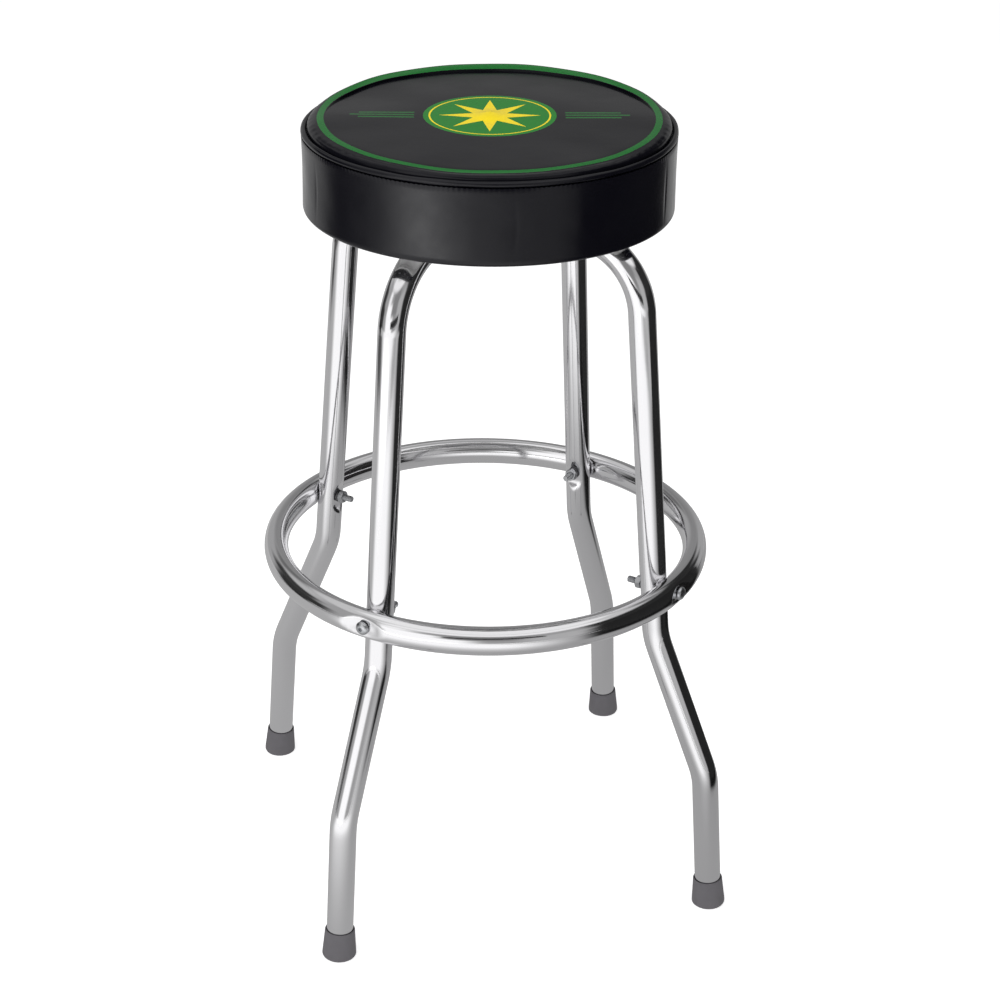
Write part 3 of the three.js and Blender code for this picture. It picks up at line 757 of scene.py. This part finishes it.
def makeLockWasher(name):
    inner, outer, high = lockWasher.inner, lockWasher.outer, lockWasher.thickness
    slit = lockWasher.slit / outer
    bevel = 0.00015
    section = [(inner, bevel), (inner, high - bevel), (inner + bevel, high), (outer - bevel, high),
               (outer, high - bevel), (outer, bevel), (outer - bevel, 0), (inner + bevel, 0)]
    piece = drawProfile(name, section + section[:1])
    mergeAll(1e-7)
    selectAll()
    spinAboutZ(40, 2 * pi - slit)
    mergeAll(1e-7)
    bpy.ops.mesh.select_all(action="DESELECT")
    bpy.ops.mesh.select_non_manifold()
    bpy.ops.mesh.edge_face_add()
    closeEdit()
    openAll(piece)
    bpy.ops.mesh.fill_holes(sides=0)
    bpy.ops.mesh.normals_make_consistent(inside=False)
    closeEdit()
    piece.data.transform(aboutZ(slit / 2))
    shadeSmooth(piece, 35)
    return piece


def addRingFasteners():
    low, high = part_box("ring_bolt_front_right")
    headSeat = high.x - ringBolt.headHeight
    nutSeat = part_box("ring_nut_front_right")[0].x
    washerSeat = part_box("ring_lock_washer_front_right")[0].x
    spins = {"front_right": 0.3, "back_right": 1.1, "back_left": 0.75, "front_left": 1.9}
    for master, seatReach, finish, stem in (
            (makeBolt("ringBolt", ringBolt, headSeat - low.x), headSeat, "zinc", "ring_bolt_"),
            (makeNut("ringNut"), nutSeat, "zinc", "ring_nut_"),
            (makeLockWasher("ringLockWasher"), washerSeat, "spring", "ring_lock_washer_")):
        placeAlong(master, (seatReach, 0, footRing.height), (1, 0, 0))
        spreadCopies(master, "base", finish, stem, legTurns, spins)


def addPlateFasteners():
    low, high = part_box("plate_bolt_front_right")
    headSeat = high.z - plateBolt.headHeight
    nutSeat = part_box("plate_nut_front_right")[0].z
    for master, height, stem in (
            (makeBolt("plateBolt", plateBolt, headSeat - low.z), headSeat, "plate_bolt_"),
            (makeNut("plateNut"), nutSeat, "plate_nut_")):
        placeAlong(master, ((low.x + high.x) / 2, 0, height), (0, 0, 1))
        spreadCopies(master, "base", "zinc", stem, legTurns)


# Seat screws: pan heads with a cross recess, driven up into the board
seatScrew = Measures(
    radius=0.0024, headRadius=0.0047, headHeight=0.0029, length=0.013, pitch=0.0018,
    thread=0.0006, crossWidth=0.0009, crossLength=0.0046, crossDepth=0.0017)


def addSeatScrews():
    screw = seatScrew
    r, depth, length, pitch = screw.radius, screw.thread, screw.length, screw.pitch
    points = [(0, length), (0.3 * r, length - 0.0005), (r - depth, length - 0.0035)]
    z = length - 0.004
    while z > 0.003:
        points += [(r - depth, z), (r, z - 0.5 * pitch), (r - depth, z - 0.9 * pitch)]
        z -= pitch
    head, tall = screw.headRadius, screw.headHeight
    points += [(r, 0.001), (r, 0), (head - 0.0004, 0), (head, -0.0004), (head, -0.3 * tall)]
    points += domedHead(head, -0.3 * tall, -tall, 0.6, 6)
    master = turnOnLathe("seatScrew", points, 32)
    for turn in (0, quarterTurn):
        slot = addPrimitive(bpy.ops.mesh.primitive_cube_add, "slot", size=1, location=(0, 0, -tall))
        slot.scale = (screw.crossLength, screw.crossWidth, 2 * screw.crossDepth)
        slot.rotation_euler = (0, 0, turn)
        applyTransform(slot)
        cutWith(master, slot)
    shadeSmooth(master, 35)
    low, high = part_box("seat_screw_right")
    reach = (low.xy + high.xy).length / 2
    master.data.transform(Matrix.Translation((reach, 0, low.z + tall)))
    spreadCopies(master, "seat", "zinc", "seat_screw_", screwTurns)


# Rubber foot tips
footTip = Measures(
    reach=0.2632, bore=0.0130, top=0.0144, floor=0.01625, height=0.028, sole=0.0045,
    sink=0.002, steps=64, hollowInset=0.0045, hollowDepth=0.0012)


def addFootTips():
    tip = footTip
    (x0, z0), (x1, z1) = legTube.corners[:2]
    lean = atan2(x0 - x1, z1 - z0)
    top, floor, tall = tip.top, tip.floor, tip.height
    points = [(0, -tip.sink), (floor - 0.0022, -tip.sink), (floor - 0.0006, -0.0002),
              (floor - 0.00005, 0.0009), (floor, 0.0022), (floor - 0.0001, 0.0042),
              (0.5 * (top + floor), 0.5 * tall), (top + 0.00018, 0.84 * tall),
              (top, tall - 0.0012), (top - 0.00025, tall - 0.0004), (top - 0.0007, tall),
              (tip.bore + 0.0003, tall), (tip.bore, tall - 0.0005),
              (tip.bore, tip.sole), (0, tip.sole)]
    master = turnOnLathe("footTip", points, tip.steps)
    master.data.transform(Matrix.Translation((tip.reach, 0, 0)) @ Matrix.Rotation(-lean, 4, "Y"))
    openAll(master)
    bpy.ops.mesh.bisect(plane_co=(0, 0, 0), plane_no=(0, 0, 1), use_fill=True, clear_inner=True)
    closeEdit()
    openFaces(master, lambda face: face.normal.z < -0.99 and face.calc_center_median().z < 1e-5)
    bpy.ops.mesh.inset(thickness=tip.hollowInset, depth=0)
    extrude((0, 0, tip.hollowDepth))
    closeEdit()
    tidySkin(master)
    shadeSmooth(master, 35)
    spreadCopies(master, "base", "rubber", "foot_tip_", legTurns)


# Bearing balls
def addBalls():
    for k in range(1, 13):
        low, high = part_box(f"bearing_ball_{k}")
        ball = addPrimitive(
            bpy.ops.mesh.primitive_ico_sphere_add, f"bearingBall{k}", subdivisions=4,
            radius=(high.z - low.z) / 2, location=(low + high) / 2)
        applyTransform(ball)
        shadeSmooth(ball, 180)
        give(ball, "ball_race", "ball", f"bearing_ball_{k}")


# Seat: a foam cushion under a crowned panel, a side band and a piped welt between them
seat = Measures(
    radius=0.1698,            # outside of the side band
    vinyl=0.0015,
    underside=0.6753,
    boardTop=0.7085,
    weltHeight=0.7480,
    weltRadius=0.00275,
    weltReach=0.16745,
    weltSqueeze=0.955,        # sewn tight, the welt is a little thinner than that
    panelReach=0.1644,
    crownHeight=0.0146,
    crownFullness=0.28,
    crownPower=6,
    flatTop=0.0110,           # the middle is flatter than the crown
    rise=0.026,               # the cushion stands higher at the back, as photographed
    riseFacing=31.2,
    seamRise=0.0024,          # at the back right the seam sits a little higher
    seamBelow=0.0040,         # so far under the welt the cushion rises with it
    rollReach=(0.050, 0.14805, 0.14815, 0.1560, 0.1635),   # hollow, foot, wall, crest, end
    rollHollow=0.0031,        # at the back the stripe lies on a roll with a steep inner wall
    rollWallTop=0.0009,
    rollLift=0.0029,
    steps=360,
    bandEdge=0.004,
    bandWrap=0.017,
    bandDrawIn=0.0004,
    gathers=(64, 0.0004),     # count and height of the folds in the turned-in edge
    creases=(-123, -51.6, 7, 64, 131, 170),     # degrees
    creaseWidth=0.011,
    creaseDepth=0.0005,
    stitches=240,
    puckerIn=0.0004,
    puckerDown=0.0009,
)


def crownHeightAt(share):
    s = seat
    crown = s.crownHeight * max(0.0, 1 - share ** s.crownPower) ** s.crownFullness
    return -smoothMax(-crown, -s.flatTop, 0.0015)


def rollHeight(reach, towardsBack):     # what the roll at the back adds to the cushion's height
    s = seat
    start, foot, wall, crest, end = s.rollReach
    if reach < wall:
        deep = s.rollHollow * easeBetween(reach, start, foot)
        deep -= (s.rollHollow - s.rollWallTop) * easeBetween(reach, foot, wall)
        lift = 0
    elif reach < crest:
        share = (reach - wall) / (crest - wall)
        deep = s.rollWallTop * (1 - share)
        lift = s.rollLift * share * (1.35 - 0.35 * share)
    else:
        deep = 0
        lift = s.rollLift * (1 - easeBetween(reach, crest, end))
    return lift * max(0, towardsBack) - deep * easeBetween(towardsBack, -0.05, 0.5)


def seatDirections():       # unit vectors to the back of the print and to its right
    back = outwardAt(radians(seat.riseFacing) + quarterTurn)
    return back, Vector((back.y, -back.x, 0))


def seamRiseAt(place):
    back, right = seatDirections()
    s = seat
    return (s.seamRise * easeBetween(place.dot(right) / s.panelReach, -0.1, 0.8)
            * easeBetween(place.dot(back) / s.panelReach, -0.5, 0.3))


def waves(angle, *parts):       # sine waves round the seat: height, count and start of each
    return sum(height * sin(count * angle + start) for height, count, start in parts)


def shapeCushion(piece):        # a little tilt, slack in the vinyl and the pull of the seam
    s = seat
    back = seatDirections()[0]
    for vertex in piece.data.vertices:
        place = vertex.co
        height = place.z
        if height > s.weltHeight - s.seamBelow:
            place.z += seamRiseAt(place)
        if height < s.weltHeight + 0.0005:
            continue
        reach = place.xy.length
        share = min(1, reach / s.panelReach)
        angle = angleOf(place)
        hold = min(1, (1 - share ** 6) / 0.25)
        place.z += hold * s.rise * place.dot(back)
        place.z += rollHeight(reach, place.dot(back) / max(reach, 0.001))
        slack = waves(angle, (0.00035, 3, 1.1), (0.00025, 7, 0.4), (0.00018, 13, 2.0))
        place.z += hold * slack * share ** 3
        pull = max(0, 1 - abs(share - 0.985) / 0.03)
        place.z += pull * waves(angle, (0.00012, 90, 0), (0.00014, 31, 0.7))


def addCushion():
    s = seat
    points = [(0, s.boardTop + 0.0003), (s.radius - 0.0032, s.boardTop + 0.0003),
              (s.radius - 0.0032, s.weltHeight - 0.0035),
              (s.panelReach - 0.0004, s.weltHeight - 0.0020),
              (s.panelReach, s.weltHeight)]
    shares = [0.9995, 0.998, 0.995, 0.991, 0.986, 0.98, 0.973, 0.965, 0.957, 0.949, 0.942, 0.934,
              0.926, 0.918, 0.911, 0.9055, 0.9025, 0.9012, 0.9003, 0.898, 0.894, 0.888, 0.88,
              0.865, 0.85, 0.83, 0.8, 0.76, 0.71, 0.65, 0.58, 0.5, 0.42, 0.33, 0.24, 0.15, 0.07]
    points += [(s.panelReach * q, s.weltHeight + crownHeightAt(q)) for q in shares]
    points.append((0, s.weltHeight + s.crownHeight))
    piece = turnOnLathe("seatCushion", points, s.steps)
    shapeCushion(piece)
    shadeSmooth(piece, 55)
    give(piece, "seat", "printedVinyl", "seat_top_panel", "seat_foam")


def bandProfile(inset):     # from the turned-in edge under the board, round the corner and up
    s = seat
    outer, edge = s.radius - inset, s.bandEdge - inset
    centre = (s.radius - s.bandEdge, s.underside + s.bandEdge)
    top = s.weltHeight - s.weltRadius - 0.0001
    step = (s.bandWrap - s.bandEdge) / 6
    points = [(s.radius - s.bandWrap + k * step, s.underside + inset) for k in range(6)]
    for k in range(9):
        angle = -quarterTurn + k * quarterTurn / 8
        points.append((centre[0] + edge * cos(angle), centre[1] + edge * sin(angle)))
    for k in range(1, 25):
        share = k / 24
        drawn = s.bandDrawIn * sin(pi * share)
        points.append((outer - drawn, centre[1] + (top - centre[1]) * share))
    return points


def shapeBand(piece):       # gathers under the board, upright creases, puckers at the seam
    s = seat
    random.seed(4)
    creases = [(radians(a), random.uniform(0.6, 1)) for a in s.creases]
    folds, fold = s.gathers
    for vertex in piece.data.vertices:
        place = vertex.co
        angle = angleOf(place)
        outward = outwardAt(angle)
        reach = place.xy.length
        if place.z < s.underside + 0.003 and reach < s.radius - 0.006:
            share = 1 - (reach - (s.radius - s.bandWrap)) / (s.bandWrap - 0.006)
            gather = 0.5 + 0.5 * sin(folds * angle + 1.3 * sin(5 * angle))
            place.z -= fold * share * gather
            continue
        height = (place.z - s.underside) / (s.weltHeight - s.underside)
        wave = waves(angle, (0.00022, 4, 0.5), (0.00016, 9, 2), (0.0001, 17, 5 * height))
        for middle, depth in creases:
            away = (angle - middle + pi) % (2 * pi) - pi
            lean = away - 0.012 * sin(3 * height)
            wave -= (s.creaseDepth * depth * exp(-(lean / s.creaseWidth) ** 2)
                     * sin(pi * min(1, height * 1.1)))
        place += outward * wave * sin(pi * min(1, max(0, height)))
        place.z += seamRiseAt(place) * min(1, max(0, height))
        if height > 0.94:
            pucker = 0.5 + 0.5 * sin(s.stitches * angle)
            place -= outward * s.puckerIn * pucker
            place.z -= s.puckerDown * pucker


def addSideBand():
    outside = bandProfile(0)
    inside = bandProfile(seat.vinyl)
    points = outside + inside[::-1] + outside[:1]
    piece = turnOnLathe("seatSideBand", points, seat.steps * 2)
    shapeBand(piece)
    shadeSmooth(piece, 50)
    give(piece, "seat", "vinyl", "seat_side_band")


def addWelt():
    s = seat
    piece = addPrimitive(
        bpy.ops.mesh.primitive_torus_add, "seatWelt", major_radius=s.weltReach,
        minor_radius=s.weltRadius, major_segments=720, minor_segments=20,
        location=(0, 0, s.weltHeight))
    applyTransform(piece)
    for vertex in piece.data.vertices:
        angle = angleOf(vertex.co)
        core = outwardAt(angle) * s.weltReach
        core.z = s.weltHeight
        offset = vertex.co - core
        swell = 1 + waves(angle, (0.035, s.stitches, 0), (0.03, 23, 0))
        core.z += seamRiseAt(core)
        vertex.co = core + offset * swell * s.weltSqueeze
    shadeSmooth(piece, 180)
    give(piece, "seat", "vinyl", "seat_welt")


staple = Measures(size=(0.0010, 0.0100, 0.0006), bevel=0.00018, count=46, inset=0.0115)


def addStaples():       # they hold the band's turned-in edge to the board
    random.seed(11)
    master = addPrimitive(bpy.ops.mesh.primitive_cube_add, "stapleWire", size=1, location=(0, 0, 0))
    master.scale = staple.size
    applyTransform(master)
    addModifier(master, "BEVEL", width=staple.bevel, segments=1)
    staples = []
    for k in range(staple.count):
        angle = 2 * pi * (k + random.uniform(-0.12, 0.12)) / staple.count
        reach = seat.radius - staple.inset + random.uniform(-0.0008, 0.0008)
        twin = copyPiece(master, "staple")
        skew = random.uniform(-0.22, 0.22)
        twin.data.transform(aboutZ(angle)
                            @ Matrix.Translation((reach, 0, seat.underside - staple.size[2]))
                            @ aboutZ(skew))
        staples.append(twin)
    discard(master)
    deselectEverything()
    for twin in staples:
        twin.select_set(True)
    bpy.context.view_layer.objects.active = staples[0]
    bpy.ops.object.join()
    piece = bpy.context.object
    piece.name = "seatStaples"
    shadeSmooth(piece, 30)
    give(piece, "seat", "spring")


def finishCadNodes():       # the solids that stay as they are get their own finishes
    for name, finish in (("swivel_lower_plate", "pressed"), ("swivel_upper_plate", "pressed"),
                         ("swivel_hub", "zinc"), ("ball_cage", "pressed"),
                         ("seat_board", "plywood"), ("seat_rim", "plywood")):
        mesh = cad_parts[name].data
        mesh.materials.clear()
        mesh.materials.append(finishes[finish][0])
    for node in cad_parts.values():
        if not node.hide_render:
            shadeSmooth(node, 30)


# Studio: pale floor, soft boxes, and cards that shape what the chrome and the vinyl show
studio = Measures(
    floorSize=10,
    floorHeight=-0.0005,
    floorGlow=0.62,
    ambient=0.55,
    keyPower=34,
    fillPower=10,
    topPower=18,
    nearFloor=(0.47, 0.34),     # painted shade: the floor as a glossy surface sees it near the stool, left and right
    frontFloor=1.15,            # and further off in front, in the soft boxes' light
    darkFloor=0.02,             # painted shade under the flags
    belt=(1.95, 2.05, 2.60, 2.48),      # reach of the floor that the side band mirrors
    domeRadius=4.6,
    domeHeight=0.45,
)
# Patches painted on the mirrored floor: painted light in front, painted shade beside the flags
floorPatches = {        # reach where it starts and is full, azimuth of the same on either side
    "front": (0.25, 0.85, -80, -52, 50, 5),
    "rightDark": (0.50, 0.66, 41, 54, 132, 122),
    "leftDark": (1.6, 2.0, -124, -112, -86, -96),
}


def lookAt(thing, target):
    thing.rotation_euler = (Vector(target) - thing.location).to_track_quat("-Z", "Y").to_euler()


def addLamp(name, place, target, size, power):
    bpy.ops.object.light_add(type="AREA", location=place)
    lamp = bpy.context.object
    lamp.name = name
    lamp.data.shape = "RECTANGLE"
    lamp.data.size, lamp.data.size_y = size
    lamp.data.energy = power
    lamp.visible_glossy = False         # the mirror dome stands for the boxes there
    lookAt(lamp, target)


def addWorld():     # white where it is seen or mirrored, soft light for the rest
    scene.world = bpy.data.worlds.new("studioAir")
    scene.world.use_nodes = True
    tree = scene.world.node_tree
    tree.nodes.clear()
    path = addNode(tree, "LightPath").outputs
    seen = maths(tree, "MAXIMUM", path["Is Camera Ray"], maths(
        tree, "MAXIMUM", path["Is Glossy Ray"], path["Is Transmission Ray"]))
    air = addNode(tree, "Background", {"Strength": studio.ambient}).outputs[0]
    white = addNode(tree, "Background", {"Color": (1, 1, 1, 1)}).outputs[0]
    addNode(tree, "OutputWorld", {"Surface": feedInTurn(tree, "MixShader", seen, air, white)})


def azimuthOf(tree, x, y):      # degrees from the camera's side, to the right
    return maths(tree, "DEGREES", maths(tree, "ARCTAN2", x, times(tree, y, -1.0)))


def boxShare(tree, value, start, end, soft):      # 1 between start and end, with soft edges
    return times(tree, softStep(tree, value, start - soft, start + soft),
                 softStep(tree, value, end + soft, end - soft))


def patchShare(tree, reach, azimuth, patch):        # 1 on the patch, with soft edges
    near, far, left, fullLeft, right, fullRight = patch
    return times(tree, softStep(tree, reach, near, far), softStep(tree, azimuth, left, fullLeft),
                 softStep(tree, azimuth, right, fullRight))


def layOver(tree, level, share, brightness):
    return maths(tree, "MULTIPLY_ADD", share, maths(tree, "SUBTRACT", brightness, level), level)


def bareFace(thing, name):      # a material with no nodes yet
    material, tree = newMaterial(name)
    tree.nodes.clear()
    thing.data.materials.append(material)
    return tree


def mirrorOnly(thing, tree, level):     # it glows, and nothing but a mirror-like surface sees it
    glow = addNode(tree, "Emission", {"Strength": level}).outputs[0]
    addNode(tree, "OutputMaterial", {"Surface": glow})
    thing.visible_camera = thing.visible_diffuse = thing.visible_shadow = False
    thing.visible_transmission = thing.visible_volume_scatter = False


# Soft boxes and flags beside the stool, as the side band mirrors them in the floor:
# azimuth from and to, softness in degrees, and brightness
beltWall = 0.56
beltBoxes = {
    "front": (-62, 60, 8, 0.40),
    "glow": (-65, 6, 8, 0.80),
    "keyEdge": (-58, -14, 12, 2.20),
    "keyCore": (-47, -28, 10, 4.00),
    "fill": (34, 50, 7, 0.55),
    "leftFlag": (-111, -74, 10, 0.09),
    "rightFlag": (57, 135, 7, 0.04),
}


def addFloor():
    floor = addPrimitive(bpy.ops.mesh.primitive_plane_add, "floor", size=studio.floorSize,
                         location=(0, 0, studio.floorHeight))
    tree = bareFace(floor, "paleFloor")
    path = addNode(tree, "LightPath").outputs
    paint = addNode(tree, "BsdfDiffuse", {"Color": (0.80, 0.80, 0.80, 1)}).outputs[0]
    glow = addNode(tree, "Emission", {"Strength": studio.floorGlow}).outputs[0]
    lit = feedInTurn(tree, "AddShader", paint, glow)

    # mirrored floor, painted light and shade: painted shade near the stool, painted light in front,
    # painted shade beside the flags
    x, y = splitPlace(tree, viewpoint.azimuth)[:2]
    reach = reachOf(tree, x, y)
    azimuth = azimuthOf(tree, x, y)
    front, right, left = [patchShare(tree, reach, azimuth, p) for p in floorPatches.values()]
    near = ramp(tree, x, -0.5, 0.5, *studio.nearFloor)
    shade = maths(tree, "MULTIPLY_ADD", maths(tree, "MAXIMUM", right, left),
                  studio.darkFloor - 1.0, 1.0)
    level = times(tree, layOver(tree, near, front, studio.frontFloor), shade)

    # the belt of floor that the seat's side band mirrors
    start, full, end, last = studio.belt
    belt = times(tree, softStep(tree, reach, start, full), softStep(tree, reach, end, last))
    beltLevel = beltWall
    for start, end, soft, brightness in beltBoxes.values():
        beltLevel = layOver(tree, beltLevel, boxShare(tree, azimuth, start, end, soft), brightness)
    level = layOver(tree, level, belt, beltLevel)
    mirrored = addNode(tree, "Emission", {"Strength": level}).outputs[0]
    surface = feedInTurn(tree, "MixShader", path["Is Glossy Ray"], lit, mirrored)
    addNode(tree, "OutputMaterial", {"Surface": surface})


# The walls and ceiling of the studio, as mirror-like surfaces see them. Soft boxes and flags:
# azimuth from and to and its softness, height from and to, in degrees, and brightness
backWall = 0.23
heightSoft = 4
wallBoxes = {
    "backPanel": (-200, 200, 4, -20, 28, 0.27),
    "sideWalls": (-165, 160, 8, -20, 41, 0.38),
    "frontGap": (-20, 24, 9, 12, 41, 0.25),
    "fill": (18, 50, 8, -20, 26, 0.48),
    "keyLow": (-55, -6, 8, -20, 12, 1.18),
    "keyMiddle": (-57, -22, 6, 9, 27, 1.18),
    "keyTop": (-59, -38, 9, 25, 41, 1.05),
    "leftFlagLow": (-123, -79, 7, -20, 13, 0.035),
    "leftFlagHigh": (-134, -91, 7, 9, 26, 0.045),
    "leftBeam": (-130, -100, 12, 26, 41, 0.52),
    "leftCorner": (-162, -139, 8, 26, 41, 0.16),
    "rightFlagLow": (51, 127, 6, -20, 14, 0.02),
    "rightFlagHigh": (55, 139, 6, 9, 28, 0.03),
    "rightFlagTop": (54, 158, 6, 23, 42, 0.025),
    "upperWalls": (-200, 200, 4, 42, 57, 0.62),
    "upperPanel": (-67, 74, 9, 42, 57, 0.98),
    "upperFlag": (114, 139, 7, 41, 52, 0.20),
    "ceilingBack": (-200, 200, 4, 57, 120, 0.40),
    "ceiling": (-154, 128, 14, 57, 120, 0.95),
}


def addMirrorDome():
    radius = studio.domeRadius
    dome = addPrimitive(bpy.ops.mesh.primitive_uv_sphere_add, "mirrorDome", segments=64,
                        ring_count=32, radius=radius, location=(0, 0, studio.domeHeight))
    tree = bareFace(dome, "mirrorDomeFace")
    x, y, z = splitPlace(tree, viewpoint.azimuth)
    azimuth = azimuthOf(tree, x, y)
    height = maths(tree, "DEGREES", maths(
        tree, "ARCSINE", maths(tree, "DIVIDE", z, radius)))
    level = backWall
    for start, end, soft, low, high, brightness in wallBoxes.values():
        share = times(tree, boxShare(tree, azimuth, start, end, soft),
                      boxShare(tree, height, low, high, heightSoft))
        level = layOver(tree, level, share, brightness)
    mirrorOnly(dome, tree, level)


# Near cards in the mirrors: azimuth and reach of the middle, width, lowest and highest
# edge, and brightness
cards = {
    "rightFlag": (86, 0.90, 1.20, 0.0, 0.70, 0.018),
    "frontStrip": (4, 0.75, 0.62, 0.575, 0.675, 0.02),
}


def addCards():
    for name, (azimuth, reach, width, low, high, brightness) in cards.items():
        place = towardsCamera(azimuth, reach, (low + high) / 2)
        card = addPrimitive(bpy.ops.mesh.primitive_plane_add, name, size=1, location=place)
        card.scale = (width, high - low, 1)
        lookAt(card, (0, 0, place.z))
        mirrorOnly(card, bareFace(card, name + "Face"), brightness)


def addStudio():
    addWorld()
    addFloor()
    addLamp("keySoftBox", towardsCamera(-42, 2.3, 2.1), (0, 0, 0.5), (1.3, 1.6), studio.keyPower)
    addLamp("fillSoftBox", towardsCamera(20, 2.8, 1.6), (0, 0, 0.4), (1.0, 1.5), studio.fillPower)
    addLamp("topSoftBox", (0, 0, 2.7), (0, 0, 0.7), (1.6, 1.6), studio.topPower)
    addMirrorDome()
    addCards()


for step in (addCamera, addLegFrames, addFootRing, addRingFasteners, addPlateFasteners,
             addSeatScrews, addFootTips, addBalls, addCushion, addSideBand, addWelt,
             addStaples, finishCadNodes, addStudio):
    step()
    print("done:", step.__name__)
deselectEverything()
scene.view_settings.view_transform = "Standard"
